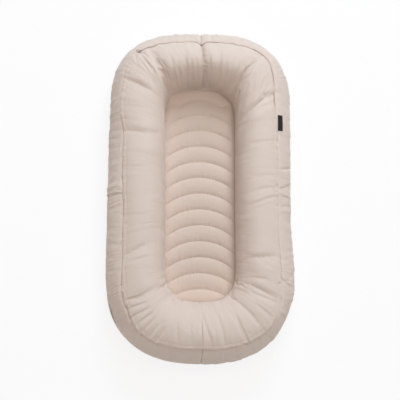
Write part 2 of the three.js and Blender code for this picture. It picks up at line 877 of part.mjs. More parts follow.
// The pull turns on its pin under the slider's bridge, and lies toward the foot at rest.
function pullGeometry() {
  const half = pullThickness / 2;
  const armInner = bridgeWidth / 2 + gap;
  const armOuter = armInner + pullArmWidth;
  const tabStart = bridgeLength / 2 + pullThickness;
  const pin = new THREE.CylinderGeometry(pullPinRadius, pullPinRadius, armOuter * 2, pinSides);
  pin.rotateX(Math.PI / 2);
  const arm = (side) => box(
    -half, half, -half, tabStart + half,
    Math.min(side * armInner, side * armOuter), Math.max(side * armInner, side * armOuter),
  );
  const tab = new THREE.Shape();
  const corner = pullWidth * pullCornerShare;
  tab.moveTo(tabStart, -armOuter);
  tab.lineTo(pullLength - corner, -pullWidth / 2);
  tab.quadraticCurveTo(pullLength, -pullWidth / 2, pullLength, 0);
  tab.quadraticCurveTo(pullLength, pullWidth / 2, pullLength - corner, pullWidth / 2);
  tab.lineTo(tabStart, armOuter);
  const tabSolid = new THREE.ExtrudeGeometry(tab, {
    depth: pullThickness, bevelEnabled: false, curveSegments: pullCurveSteps,
  });
  tabSolid.rotateX(Math.PI / 2);
  tabSolid.rotateZ(Math.PI / 2);
  const turned = centredOn(tabSolid, tabStart);
  return joined([pin, arm(1), arm(-1), turned]);
}

// Puts a flat tab's thickness about the pin's axis, with the tab running from the given distance on.
function centredOn(geometry, start) {
  geometry.computeBoundingBox();
  const { min, max } = geometry.boundingBox;
  geometry.translate(-(min.x + max.x) / 2, start - min.y, -(min.z + max.z) / 2);
  return geometry;
}

function addZip(footPart) {
  const left = { mirrored: true };
  place('zip_tape_upper', sweep(footPart, tapeSection(1), left), zipTapeCloth());
  place('zip_tape_lower', sweep(footPart, tapeSection(-1), left), zipTapeCloth());
  place('zip_coil_upper', sweep(footPart, coilSection(1), left), coilNylon());
  place('zip_coil_lower', sweep(footPart, coilSection(-1), left), coilNylon());

  const stopY = lapJoinPlace - gap - stopLength / 2;
  place('zip_top_stop', stopGeometry(), zincFinish(0xc9c4bb), sideFrame(stopY));
  place('zip_end_stop', stopGeometry(), zincFinish(0xc9c4bb), footMiddleFrame());

  const sliderY = stopY - stopLength / 2 - gap - sliderLength / 2;
  place('zip_slider', sliderGeometry(), zincFinish(0xc4bfb6), sideFrame(sliderY));
  const pull = place('zip_pull', pullGeometry(), zincFinish(0xc4bfb6), sideFrame(sliderY));
  pull.position.x = pullPinPlace;
}

// Label

function addLabel() {
  const ends = [labelPlace - labelLength / 2, labelPlace + labelLength / 2];
  const stations = ends.map((y) => stationAt({ zone: 'side', share: sideShareAt(y) }));
  const section = (station) => {
    const cover = coverSection(station);
    const to = cover.distances[cover.seamIndex] - topSeamHalf;
    const stretch = sectionStretch(cover, to - labelHeight, to);
    return clothStrip(stretch, -gap - labelThickness, labelThickness);
  };
  place('side_label', sweep(stations, section), labelWeave());
}

addBumperPanels();
const zipStations = addSideBand();
addSeamEdges();
addCentreAndBase();
addInnerCushion();
addZip(zipStations);
addLabel();

export default lounger;
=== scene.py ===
"""Infant lounger: a flat quilted lying panel inside one thick, gathered, fibre-filled bumper,
in a cotton cover with a zip."""

import math
from collections import namedtuple

import bpy
import numpy as np
from bpy.props import FloatProperty, FloatVectorProperty, PointerProperty
from mathutils import Matrix, Vector


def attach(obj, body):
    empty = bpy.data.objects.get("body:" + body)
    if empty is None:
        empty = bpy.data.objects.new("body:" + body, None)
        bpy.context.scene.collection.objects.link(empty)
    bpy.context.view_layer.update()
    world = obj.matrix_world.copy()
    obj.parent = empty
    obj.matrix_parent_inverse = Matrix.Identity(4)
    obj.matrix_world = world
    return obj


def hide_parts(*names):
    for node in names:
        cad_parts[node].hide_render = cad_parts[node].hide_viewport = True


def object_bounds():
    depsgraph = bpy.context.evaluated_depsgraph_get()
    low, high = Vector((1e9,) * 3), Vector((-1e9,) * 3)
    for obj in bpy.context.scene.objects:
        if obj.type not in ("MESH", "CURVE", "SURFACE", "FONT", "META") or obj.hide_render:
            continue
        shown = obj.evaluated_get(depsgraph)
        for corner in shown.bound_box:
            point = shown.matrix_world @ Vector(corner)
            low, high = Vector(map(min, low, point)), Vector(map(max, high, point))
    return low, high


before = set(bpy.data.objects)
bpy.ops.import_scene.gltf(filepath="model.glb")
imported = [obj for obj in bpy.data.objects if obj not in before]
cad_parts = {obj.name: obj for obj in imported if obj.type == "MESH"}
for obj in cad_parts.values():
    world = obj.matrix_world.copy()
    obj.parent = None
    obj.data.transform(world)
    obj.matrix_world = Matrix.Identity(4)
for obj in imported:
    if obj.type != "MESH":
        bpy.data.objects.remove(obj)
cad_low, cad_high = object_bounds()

bl_info = {
    "name": "Infant lounger",
    "version": (1, 0, 0),
    "blender": (4, 5, 0),
    "location": "View3D > Sidebar > Lounger",
    "description": "Builds the gathered bumper, side band, quilted panel, zip and label of an infant lounger",
    "category": "Object",
}

MM = 0.001
BODY = "lounger"


# Sizes and colours that a user would change

def length(name, description, default):
    """A length among the sizes."""
    settings = dict(name=name, description=description, default=default)
    return FloatProperty(**settings, subtype="DISTANCE", unit="LENGTH")


def colour(name, description, default):
    """A colour among the finishes."""
    settings = dict(name=name, description=description, default=default)
    return FloatVectorProperty(**settings, subtype="COLOR", size=3, min=0, max=1)


class LoungerSizes(bpy.types.PropertyGroup):
    length: length("Length", "Overall length, head to foot", 0.820)
    head_width: length("Head width", "Width where the head corners start", 0.444)
    foot_width: length("Foot width", "Width where the foot corners start", 0.460)
    height: length("Height", "Height of the bumper's crest", cad_high.z)
    head_corner: length("Head corner", "Length of the rounded head end", 0.185)
    foot_corner: length("Foot corner", "Length of the rounded foot end", 0.195)
    panel_width: length("Panel width", "Width of the lying panel", 0.180)
    panel_corner: length("Panel corner", "Length of the panel's rounded ends", 0.084)
    bumper_at_head: length("Bumper at head", "Width of the bumper at the head end", 0.130)
    bumper_at_foot: length("Bumper at foot", "Width of the bumper at the foot end", 0.146)
    seam_inset: length("Seam inset", "How far the outer seam lies inside the outline at the sides", 0.040)
    seam_inset_ends: length("Seam inset at the ends", "The same, at the two ends", 0.031)
    seam_height: length("Outer seam height", "Height of the outer seam", 0.120)
    inner_seam_height: length("Inner seam height", "Height of the seam round the lying panel", 0.024)
    base_inset: length("Base seam inset", "How far the base seam lies inside the outline", 0.013)
    base_height: length("Base seam height", "Height of the base seam", 0.004)
    cloth: length("Cloth", "Thickness of the cover's cloth with its lining", 0.0016)
    channel_pitch: length("Channel pitch", "Distance between rows of quilting", 0.040)
    channel_radius: length("Channel radius", "Radius of the arched quilting", 0.130)
    border: length("Plain border", "Length of the panel's plain border at the head end", 0.025)
    puff: length("Puff", "Rise of the quilted puffs", 0.0055)
    zip_height: length("Zip height", "Height of the zip's middle", 0.040)
    join_place: length("Lapped join", "Place of the lapped join, toward the head", 0.0)


class LoungerColours(bpy.types.PropertyGroup):
    cover: colour("Cover cotton", "Natural, faintly pink cotton", (0.745, 0.625, 0.56))
    # The panel's cotton is the cover's cloth made a little darker and more saturated: partly its own tone,
    # partly painted shade of the well it lies in
    panel: colour("Panel cotton", "Cotton of the quilted panel", (0.70, 0.575, 0.50))
    thread: colour("Thread", "Sewing thread", (0.80, 0.715, 0.645))
    casing: colour("Casing cloth", "Plain inner casing", (0.80, 0.78, 0.74))
    tape: colour("Zip tape", "Woven zip tape", (0.74, 0.665, 0.60))
    coil: colour("Zip coil", "Nylon coil", (0.72, 0.665, 0.61))
    metal: colour("Zip metal", "Slider, pull and stops", (0.60, 0.575, 0.54))
    label: colour("Label", "Woven side label", (0.015, 0.0115, 0.0105))


# Curves

def bell(x, middle, half):
    """exp(-((x - middle) / half)^2)."""
    return np.exp(-((x - middle) / half) ** 2)


def bells(x, hills):
    """Sum of bells of x, each hill given by its height, middle and half width."""
    return sum(height * bell(x, middle, half) for height, middle, half in hills)


def fading(distance, reach):
    """exp(-distance / reach)."""
    return np.exp(-distance / reach)


def smoothstep(x):
    """0 up to 0, 3 x^2 - 2 x^3 from 0 to 1, and 1 from there on."""
    x = np.clip(x, 0, 1)
    return x ** 2 * (3 - 2 * x)


def arch(share, power=1.0):
    """sin(pi share) to a power, for shares from 0 to 1: 0 at both ends and 1 half way."""
    return np.sin(np.pi * np.clip(share, 0, 1)) ** power


def corner_curve(half_width, reach, squareness, angle):
    """Superellipse quarter |x/a|^n + |y/b|^n = 1, at the place whose outward normal has this angle:
    the shares a cos and b sin are raised to n/(n-1), and their parts of the sum to 1/n."""
    power = squareness / (squareness - 1)
    across = (half_width * np.maximum(np.cos(angle), 0)) ** power
    along = (reach * np.maximum(np.sin(angle), 0)) ** power
    total = across + along
    return half_width * (across / total) ** (1 / squareness), reach * (along / total) ** (1 / squareness)


# Outline in plan

Loop = namedtuple("Loop", "foot_half head_half foot head foot_corner head_corner foot_square head_square")

FOOT_SQUARENESS, HEAD_SQUARENESS, PANEL_SQUARENESS = 2.35, 2.8, 2.5

# The outer seam's inset changes from the sides' to the ends' over this share of a corner's turn
INSET_BLEND = 0.55

# Where the photograph's outer seam wanders from that inset: millimetres, turn, and half width in turns
SEAM_WANDER = ((4, 0.44, 0.07), (-9, 1.22, 0.09), (-13, 1.315, 0.05), (-6, 1.44, 0.07), (7, 1.785, 0.035))

# Section of the cover: the powers of its rounds, how far the band stands upright over the zip's middle,
# where the crest lies on the crown, and the reach at which the lengths of its rows are measured
BASE_POWER, SHOULDER_POWER, WALL_POWER = 2.2, 1.5, 2.3
UPRIGHT_OVER_ZIP = 14 * MM
CREST_PLACE, CREST_ROW = 0.42, 0.35
USUAL_REACH = 0.139


def loop_point(loop, way):
    """Right half of a loop. Way 0 to 1 is the foot corner from its middle, 1 to 2 the straight side,
    2 to 3 the head corner."""
    foot_angle = (1 - np.clip(way, 0, 1)) * np.pi / 2
    head_angle = np.clip(way - 2, 0, 1) * np.pi / 2
    foot_x, foot_y = corner_curve(loop.foot_half, loop.foot_corner, loop.foot_square, foot_angle)
    head_x, head_y = corner_curve(loop.head_half, loop.head_corner, loop.head_square, head_angle)
    side = np.clip(way - 1, 0, 1)
    low, high = loop.foot + loop.foot_corner, loop.head - loop.head_corner
    side_x = loop.foot_half + (loop.head_half - loop.foot_half) * side
    x = np.where(way < 1, foot_x, np.where(way > 2, head_x, side_x))
    y = np.where(way < 1, low - foot_y, np.where(way > 2, high + head_y, low + (high - low) * side))
    return x, y


def run_in_plan(x, y):
    """Length along a plane line up to each of its points."""
    return np.concatenate([[0], np.cumsum(np.hypot(np.diff(x), np.diff(y)))])


def run_of(path):
    """Length along a line in space, or of pixels, up to each of its points."""
    return np.concatenate([[0], np.cumsum(np.linalg.norm(np.diff(path, axis=0), axis=-1))])


def raised(plan, z):
    """Points over those of a plan, at one height or at a grid of heights."""
    return np.concatenate([plan, np.broadcast_to(z, plan.shape[:-1])[..., None]], -1)


class Plan:
    """Stations round the lounger. Turn 0 is the foot middle, 1 the head middle by the right side,
    2 the foot middle again."""

    def __init__(self, sizes):
        self.sizes = s = sizes
        half = s.length / 2
        self.outer = Loop(s.foot_width / 2, s.head_width / 2, -half, half,
                          s.foot_corner, s.head_corner, FOOT_SQUARENESS, HEAD_SQUARENESS)
        inner_foot, inner_head = s.bumper_at_foot - half, half - s.bumper_at_head
        self.inner = Loop(s.panel_width / 2, s.panel_width / 2, inner_foot, inner_head,
                          s.panel_corner, s.panel_corner, PANEL_SQUARENESS, PANEL_SQUARENESS)
        self.ways = np.linspace(0, 3, 3001)
        x, self.ys = loop_point(self.outer, self.ways)
        run = run_in_plan(x, self.ys)
        self.half_round = run[-1]
        self.shares = run / run[-1]
        self.band_rows, self.band_length = self.row_shares(0)
        self.crown_rows, self.crown_length = self.row_shares(1)

    def turn_at(self, y, side):
        """Turn of the station at height y of the plan, on the right (1) or left (-1) side."""
        found = float(np.interp(y, self.ys, self.shares))
        return found if side > 0 else 2 - found

    def from_middles(self, turn):
        """Distance along the outline from the nearer of the head's and the foot's middle."""
        return np.abs((turn + 0.5) % 1 - 0.5) * self.half_round

    def seam_inset(self, turn, way):
        """Inset of the outer seam: the side's, blended to the ends', and where the seam wanders."""
        s = self.sizes
        turned = smoothstep(np.maximum(1 - way, way - 2) / INSET_BLEND)
        even = s.seam_inset + (s.seam_inset_ends - s.seam_inset) * turned
        return even + MM * bells(turn, SEAM_WANDER)

    def stations(self, turn):
        """Outer point, inward direction, seam point, its inset, onward direction and reach at each turn,
        all for the right half, and the half's sign."""
        turn = np.mod(turn, 2)
        side = np.where(turn <= 1, 1.0, -1.0)
        way = np.interp(np.where(turn <= 1, turn, 2 - turn), self.shares, self.ways)
        outer = np.stack(loop_point(self.outer, way), -1)
        inner = np.stack(loop_point(self.inner, way), -1)
        low = self.outer.foot + self.outer.foot_corner
        high = self.outer.head - self.outer.head_corner
        taper = math.atan2(self.outer.foot_half - self.outer.head_half, high - low)
        past_side = np.where(way > 2, np.maximum((way - 2) * np.pi / 2, taper), taper)
        angle = np.where(way < 1, (np.clip(way, 0, 1) - 1) * np.pi / 2, past_side)
        inward = -np.stack([np.cos(angle), np.sin(angle)], -1)
        inset = self.seam_inset(turn, way)
        seam = outer + inward * inset[..., None]
        onward = inner - seam
        width = np.linalg.norm(onward, axis=-1, keepdims=True)
        return outer, inward, seam, inset, onward / width, inset + width[..., 0], side

    def section(self, seam_inset, reach, row):
        """Inset and height of the cover. Rows 0 to 1 climb the band: a superellipse quarter up to the zip's
        height, an upright stretch and a slanting quarter. Rows 1 to 2 cross the crown, one quarter up to
        the crest and one down to the inner seam."""
        s = self.sizes
        z = s.base_height + (s.seam_height - s.base_height) * np.clip(row, 0, 1)
        below = np.clip((s.zip_height - z) / (s.zip_height - s.base_height), 0, 1)
        upright = s.zip_height + UPRIGHT_OVER_ZIP
        above = np.clip((z - upright) / (s.seam_height - upright), 0, 1)
        in_below = s.base_inset * (1 - (1 - below ** BASE_POWER) ** (1 / BASE_POWER))
        in_above = seam_inset * (1 - (1 - above ** SHOULDER_POWER) ** (1 / SHOULDER_POWER))
        band_inset = np.where(below > 0, in_below, in_above)
        crown = np.clip(row - 1, 0, 1)
        crest = seam_inset + CREST_PLACE * (reach - seam_inset)
        rise = np.clip(crown / CREST_ROW, 0, 1) * np.pi / 2
        fall = np.clip((crown - CREST_ROW) / (1 - CREST_ROW), 0, 1) * np.pi / 2
        up = crest - (crest - seam_inset) * np.maximum(np.cos(rise), 0) ** (2 / SHOULDER_POWER)
        up_z = s.seam_height + (s.height - s.seam_height) * np.sin(rise) ** (2 / SHOULDER_POWER)
        down = crest + (reach - crest) * np.sin(fall) ** (2 / WALL_POWER)
        wall = np.maximum(np.cos(fall), 0) ** (2 / WALL_POWER)
        down_z = s.inner_seam_height + (s.height - s.inner_seam_height) * wall
        on_crown = np.where(crown < CREST_ROW, up, down)
        on_crown_z = np.where(crown < CREST_ROW, up_z, down_z)
        inset = np.where(row <= 1, band_inset, on_crown)
        return np.broadcast_arrays(inset, np.where(row <= 1, z, on_crown_z))

    def row_shares(self, first_row):
        """Rows of the band (0) or the crown (1) with the share of the length at each, on a usual section,
        and that whole length."""
        rows = np.linspace(0, 1, 801)
        seam_inset = self.sizes.seam_inset
        inset, z = self.section(seam_inset, USUAL_REACH, rows + first_row)
        if first_row:
            inset, z = np.r_[seam_inset, inset[1:]], np.r_[self.sizes.seam_height, z[1:]]
        run = run_in_plan(inset, z)
        return (rows, run / run[-1]), run[-1]

    def at(self, turn, row):
        """Points of the smooth cover for a grid of turns by rows, which lie evenly along the section."""
        band = np.interp(np.clip(row, 0, 1), *self.band_rows[::-1])
        crown = 1 + np.interp(np.clip(row - 1, 0, 1), *self.crown_rows[::-1])
        outer, inward, seam, seam_inset, onward, reach, side = self.stations(turn)
        rows = np.where(row <= 1, band, crown)[None, :]
        inset, z = self.section(seam_inset[:, None], reach[:, None], rows)
        beyond = (inset - seam_inset[:, None])[..., None]
        on_band = outer[:, None] + inward[:, None] * inset[..., None]
        plan = np.where(beyond <= 0, on_band, seam[:, None] + onward[:, None] * beyond)
        plan[..., 0] *= side[:, None]
        return raised(plan, z)


# Grids

def unit(v):
    """Vectors of length 1."""
    return v / np.maximum(np.linalg.norm(v, axis=-1, keepdims=True), 1e-12)


def grid_normals(grid, closed=False):
    """Cross product of the two directions of the grid, from differences of neighbours."""
    if closed:
        along = np.roll(grid, -1, 0) - np.roll(grid, 1, 0)
    else:
        along = np.gradient(grid, axis=0)
    return unit(np.cross(along, np.gradient(grid, axis=1)))


def cubic(grid, index, axis, closed):
    """Values between the lines of a grid along one axis, by the Catmull-Rom cubic through four neighbours."""
    n = grid.shape[axis]
    low = np.floor(index).astype(int)
    f = index - low
    weights = (
        -f ** 3 / 2 + f ** 2 - f / 2,
        1.5 * f ** 3 - 2.5 * f ** 2 + 1,
        -1.5 * f ** 3 + 2 * f ** 2 + f / 2,
        f ** 3 / 2 - f ** 2 / 2,
    )
    shape = [1] * grid.ndim
    shape[axis] = len(index)
    total = 0
    for step, weight in zip((-1, 0, 1, 2), weights):
        place = np.mod(low + step, n) if closed else np.clip(low + step, 0, n - 1)
        total = total + np.take(grid, place, axis) * weight.reshape(shape)
    return total


def noise(u, v, seed, period=None):
    """Smooth noise from -1 to 1 of two arrays: a seeded lattice of values, blended with a smoothstep.
    It repeats along u after the period, or after the lattice's own size."""
    size_v = 256
    size_u = period or size_v
    lattice = np.random.default_rng(seed).uniform(-1, 1, (size_u, size_v))
    u, v = np.broadcast_arrays(u, v)
    iu, iv = np.floor(u).astype(int), np.floor(v).astype(int)
    fu, fv = smoothstep(u - iu), smoothstep(v - iv)
    near_u, far_u, near_v, far_v = iu % size_u, (iu + 1) % size_u, iv % size_v, (iv + 1) % size_v
    a, b = lattice[near_u, near_v], lattice[far_u, near_v]
    c, d = lattice[near_u, far_v], lattice[far_u, far_v]
    return (a * (1 - fu) + b * fu) * (1 - fv) + (c * (1 - fu) + d * fu) * fv


def quads(rows, columns, closed_rows=False, closed_columns=False, first=0):
    """Quads of a grid whose points are numbered row by row."""
    r = np.arange(rows if closed_rows else rows - 1)[:, None]
    c = np.arange(columns if closed_columns else columns - 1)[None, :]
    r2, c2 = (r + 1) % rows, (c + 1) % columns
    corners = [r * columns + c, r2 * columns + c, r2 * columns + c2, r * columns + c2]
    return np.stack(corners, -1).reshape(-1, 4) + first


def rim_of(rows, columns):
    """Numbers of the points on a grid's border, in order round it, and each one's follower."""
    rim = np.concatenate([
        np.arange(columns), np.arange(1, rows) * columns + columns - 1,
        (rows - 1) * columns + np.arange(columns - 2, -1, -1), np.arange(rows - 2, 0, -1) * columns,
    ])
    return rim, np.roll(rim, -1)


def metric_uv(grid):
    """Lengths in metres along the two directions of the grid: the mean over the lines that run along it,
    and each row's own across it."""
    steps_along = np.linalg.norm(np.diff(grid, axis=0), axis=-1)
    steps_across = np.linalg.norm(np.diff(grid, axis=1), axis=-1)
    u = np.concatenate([np.zeros((1, grid.shape[1])), np.cumsum(steps_along, 0)])
    v = np.concatenate([np.zeros((grid.shape[0], 1)), np.cumsum(steps_across, 1)], 1)
    u = np.repeat(u.mean(1, keepdims=True), grid.shape[1], 1)
    return np.stack([u, v], -1)


# Pieces

# The back of a piece of cloth has one point for this many of its front, each way
BACK_STEP = 8


def new_mesh(name, points, faces, uv=None):
    """A mesh from an array of points and arrays of faces, each array with its own number of corners."""
    mesh = bpy.data.meshes.new(name)
    points = np.asarray(points, np.float32).reshape(-1, 3)
    corners = np.concatenate([f.ravel() for f in faces]).astype(np.int32)
    counts = np.concatenate([np.full(len(f), f.shape[1]) for f in faces])
    starts = np.concatenate([[0], np.cumsum(counts)[:-1]]).astype(np.int32)
    mesh.vertices.add(len(points))
    mesh.vertices.foreach_set("co", points.ravel())
    mesh.loops.add(len(corners))
    mesh.loops.foreach_set("vertex_index", corners)
    mesh.polygons.add(len(counts))
    mesh.polygons.foreach_set("loop_start", starts)
    mesh.polygons.foreach_set("use_smooth", np.ones(len(counts), bool))
    if uv is not None:
        layer = mesh.uv_layers.new(name="UVMap")
        layer.data.foreach_set("uv", np.asarray(uv, np.float32).reshape(-1, 2)[corners].ravel())
    mesh.update(calc_edges=True)
    mesh.validate()
    return mesh


def new_piece(name, mesh, material, body=BODY, replaces=()):
    """A piece of the lounger: it rides on a body, has a material slot and may stand for CAD nodes."""
    piece = bpy.data.objects.new(name, mesh)
    bpy.context.scene.collection.objects.link(piece)
    mesh.materials.append(material)
    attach(piece, body)
    if replaces:
        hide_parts(*replaces)
    return piece


def slab(name, front, thickness, outward=None):
    """Closed cloth: the front grid, a coarser back one thickness behind it, and a rim that joins the two."""
    step = BACK_STEP
    rows, columns = front.shape[:2]
    normals = grid_normals(front) if outward is None else outward
    back = (front - normals * thickness)[::step, ::step]
    b_rows, b_columns = back.shape[:2]
    first = rows * columns
    faces = [quads(rows, columns), quads(b_rows, b_columns, first=first)[:, ::-1]]
    line = np.arange(step + 1)
    for edge, column in ((0, 0), (1, columns - 1)):
        start = np.arange(b_rows - 1)[:, None]
        fine = (start * step + line) * columns + column
        coarse = first + (start + [1, 0]) * b_columns + (b_columns - 1) * edge
        rim = np.concatenate([fine, coarse], 1)
        faces.append(rim[:, ::-1] if edge == 0 else rim)
    for edge, row in ((0, 0), (1, rows - 1)):
        start = np.arange(b_columns - 1)[:, None]
        fine = row * columns + start * step + line
        coarse = first + (b_rows - 1) * edge * b_columns + start + [1, 0]
        rim = np.concatenate([fine, coarse], 1)
        faces.append(rim if edge == 0 else rim[:, ::-1])
    points = np.concatenate([front.reshape(-1, 3), back.reshape(-1, 3)])
    uv = metric_uv(front)
    uv = np.concatenate([uv.reshape(-1, 2), uv[::step, ::step].reshape(-1, 2)])
    return new_mesh(name, points, faces, uv)


def carried(name, path, across, out, profile, closed=True):
    """A closed profile carried along a path: each of its points lies its two shares across and out from
    the path's point. An open path gets a cap at each end."""
    grid = path[:, None] + across[:, None] * profile[None, :, :1] + out[:, None] * profile[None, :, 1:]
    rows, columns = grid.shape[:2]
    faces = [quads(rows, columns, closed, True)]
    if not closed:
        faces += [np.arange(columns)[None, ::-1], (rows - 1) * columns + np.arange(columns)[None, :]]
    return new_mesh(name, grid, faces, metric_uv(grid))


def filled_loop(loop, inset, end_rows, side_rows, columns):
    """Grid that fills a rounded loop. In each end the square of grid shares (u, v) goes to the half disc
    (u sqrt(1 - v^2 / 2), v sqrt(1 - u^2 / 2)), then out to the superellipse along its own ray; between
    the ends rows run straight."""
    u = np.linspace(-1, 1, columns)[None, :]
    v = np.linspace(0, 1, end_rows + 1)[:, None]
    across, along = u * np.sqrt(1 - v ** 2 / 2), v * np.sqrt(1 - u ** 2 / 2)
    far = np.maximum(np.hypot(across, along), 1e-9)

    def end(half, corner, square, base, sign):
        power_sum = np.abs(across / far) ** square + np.abs(along / far) ** square
        out = np.maximum(power_sum, 1e-6) ** (-1 / square)
        return np.stack([across * out * half, base + sign * along * out * corner], -1)

    foot_corner, head_corner = loop.foot_corner - inset, loop.head_corner - inset
    foot_base, head_base = loop.foot + inset + foot_corner, loop.head - inset - head_corner
    foot = end(loop.foot_half - inset, foot_corner, loop.foot_square, foot_base, -1)
    head = end(loop.head_half - inset, head_corner, loop.head_square, head_base, 1)
    t = np.linspace(0, 1, side_rows + 1)[1:-1, None, None]
    return np.concatenate([foot[::-1], foot[:1] * (1 - t) + head[:1] * t, head])


def closed_sheet(name, top, bottom):
    """Flat piece: a top grid, a bottom grid of the same size and the rim between them."""
    rows, columns = top.shape[:2]
    first = rows * columns
    rim, after = rim_of(rows, columns)
    faces = [quads(rows, columns)[:, ::-1], quads(rows, columns, first=first)]
    faces.append(np.stack([rim, first + rim, first + after, after], -1))
    uv = top[..., :2].reshape(-1, 2)
    points = np.concatenate([top.reshape(-1, 3), bottom.reshape(-1, 3)])
    return new_mesh(name, points, faces, np.concatenate([uv, uv]))


def oval(half_width, half_height, sides):
    """Ellipse of points (a cos, b sin)."""
    angle = np.linspace(0, 2 * np.pi, sides, endpoint=False)
    return np.stack([half_width * np.cos(angle), half_height * np.sin(angle)], -1)


def sampled(values, run, place):
    """Values of a line's points at other places along its run."""
    return np.stack([np.interp(place, run, values[:, i]) for i in range(values.shape[1])], -1)


def repeated(faces, count, points_each):
    """Faces of one small part, repeated for a count of parts whose points follow each other."""
    steps = (np.arange(count) * points_each)[:, None, None]
    return [(f[None] + steps).reshape(-1, f.shape[1]) for f in faces]


def tube_faces(rings, sides):
    """Faces of a tube of rings with a cap at each end."""
    caps = [np.arange(sides)[None, ::-1], (rings - 1) * sides + np.arange(sides)[None]]
    return [quads(rings, sides, False, True), *caps]


def stitches(name, path, out, pitch, length_share, radius, closed=True, sides=6, rings=5):
    """Short threads along a path. Each is a bead whose radius is sqrt(1 - s^2) of the whole, s from -1 to 1
    along it; its middle stands 0.65 radii over the cloth and its ends dip 0.55 radii into it."""
    if closed:
        path, out = np.concatenate([path, path[:1]]), np.concatenate([out, out[:1]])
    run = run_of(path)
    count = max(2, int(run[-1] / pitch))
    middle = (np.arange(count) + 0.5) * run[-1] / count
    half = run[-1] / count * length_share / 2
    share_along = np.linspace(-1, 1, rings)
    centre = sampled(path, run, middle[:, None] + share_along[None] * half)
    along = unit(centre[:, -1] - centre[:, 0])[:, None]
    up = unit(sampled(out, run, middle))[:, None]
    side = unit(np.cross(along, up))
    up = np.cross(side, along)
    lift = (1 - share_along ** 2)[None, :, None] * radius * 1.2 - radius * 0.55
    angle = np.linspace(0, 2 * np.pi, sides, endpoint=False)[None, None, :, None]
    thick = radius * np.sqrt(np.maximum(1 - share_along ** 2, 0.08))[None, :, None, None]
    ring = side[:, :, None] * np.cos(angle) + up[:, :, None] * np.sin(angle)
    points = (centre + up * lift)[:, :, None] + ring * thick
    return new_mesh(name, points, repeated(tube_faces(rings, sides), count, rings * sides))


# Materials

class Nodes:
    """Adds nodes to a material's tree by short calls."""

    def __init__(self, name):
        self.material = bpy.data.materials.new(name)
        self.material.use_nodes = True
        self.tree = self.material.node_tree
        self.shader = self.tree.nodes["Principled BSDF"]

    def put(self, socket, value):
        """Links a socket's value to an input, or sets the input to a plain value."""
        if isinstance(value, bpy.types.NodeSocket):
            self.tree.links.new(value, socket)
        else:
            socket.default_value = value

    def add(self, kind, settings=None, **inputs):
        """A node with its settings and inputs. An input is named with _ for a space, or _ and its number."""
        node = self.tree.nodes.new(kind)
        for key, value in (settings or {}).items():
            setattr(node, key, value)
        for key, value in inputs.items():
            numbered = key[0] == "_" and key[1:].isdigit()
            self.put(node.inputs[int(key[1:]) if numbered else key.replace("_", " ")], value)
        return node

    def finish(self, **inputs):
        """Sets or links inputs of the material's shader."""
        for key, value in inputs.items():
            self.put(self.shader.inputs[key.replace("_", " ")], value)

    def maths(self, operation, a, b=0.0, clamp=False):
        settings = {"operation": operation, "use_clamp": clamp}
        return self.add("ShaderNodeMath", settings, _0=a, _1=b).outputs[0]

    def times_plus(self, value, factor, more):
        """value * factor + more."""
        return self.maths("ADD", self.maths("MULTIPLY", value, factor), more)

    def mix(self, factor, a, b):
        """Colour between a and b."""
        return self.add("ShaderNodeMix", {"data_type": "RGBA"}, _0=factor, _6=a, _7=b).outputs[2]

    def noise(self, vector, scale, detail=2.0, roughness=0.5, distortion=0.0):
        inputs = dict(Vector=vector, Scale=scale, Detail=detail, Roughness=roughness, Distortion=distortion)
        return self.add("ShaderNodeTexNoise", None, **inputs).outputs[0]

    def bump(self, height, strength, distance, normal=None):
        node = self.add("ShaderNodeBump", None, Strength=strength, Distance=distance, Height=height)
        if normal is not None:
            self.tree.links.new(normal, node.inputs["Normal"])
        return node.outputs[0]


def rgba(c, level=1.0):
    """A colour made lighter or darker, up to white, with its alpha."""
    return (min(c[0] * level, 1), min(c[1] * level, 1), min(c[2] * level, 1), 1)


def cotton(name, tone, thread=0.0007, sheen=0.2, crinkle=0.25, mottle=0.12):
    """Plain-woven cotton. The weave is the product of two sines along the cloth, one thread apart, uneven
    where noise thickens a thread; a slower noise along the object gives crinkles, and the colour varies
    with slubs and handling."""
    n = Nodes(name)
    place = n.add("ShaderNodeTexCoord")
    split = n.add("ShaderNodeSeparateXYZ", None, Vector=place.outputs["UV"])
    wobble = n.noise(place.outputs["Object"], 220.0, 1.0)
    turn = math.pi / thread
    warp = n.maths("SINE", n.times_plus(split.outputs[0], turn, n.maths("MULTIPLY", wobble, 1.6)))
    weft = n.maths("SINE", n.times_plus(split.outputs[1], turn, n.maths("MULTIPLY", wobble, 1.3)))
    weave = n.maths("MULTIPLY", warp, weft)
    stretch = n.add("ShaderNodeMapping", None, Vector=place.outputs["UV"], Scale=(60.0, 900.0, 1.0))
    slub = n.noise(stretch.outputs[0], 1.0, 2.0)
    soft = n.noise(place.outputs["Object"], 9.0, 3.0, 0.55)
    fine = n.noise(place.outputs["Object"], 120.0, 4.0, 0.6, 0.6)
    shade = n.times_plus(soft, mottle, n.maths("MULTIPLY", slub, mottle * 0.5))
    shade = n.maths("ADD", shade, n.maths("MULTIPLY", weave, 0.04))
    shade = n.maths("SUBTRACT", shade, mottle * 0.75 - 0.5, True)
    crushed = n.bump(fine, crinkle, 0.0016)
    slubby = n.bump(slub, 0.25, 0.0004, crushed)
    n.finish(Base_Color=n.mix(shade, rgba(tone, 0.90), rgba(tone, 1.10)),
             Roughness=n.times_plus(fine, 0.12, 0.78),
             Normal=n.bump(weave, 0.35, thread * 0.35, slubby),
             Sheen_Weight=sheen, Sheen_Roughness=0.6, Specular_IOR_Level=0.25)
    return n.material


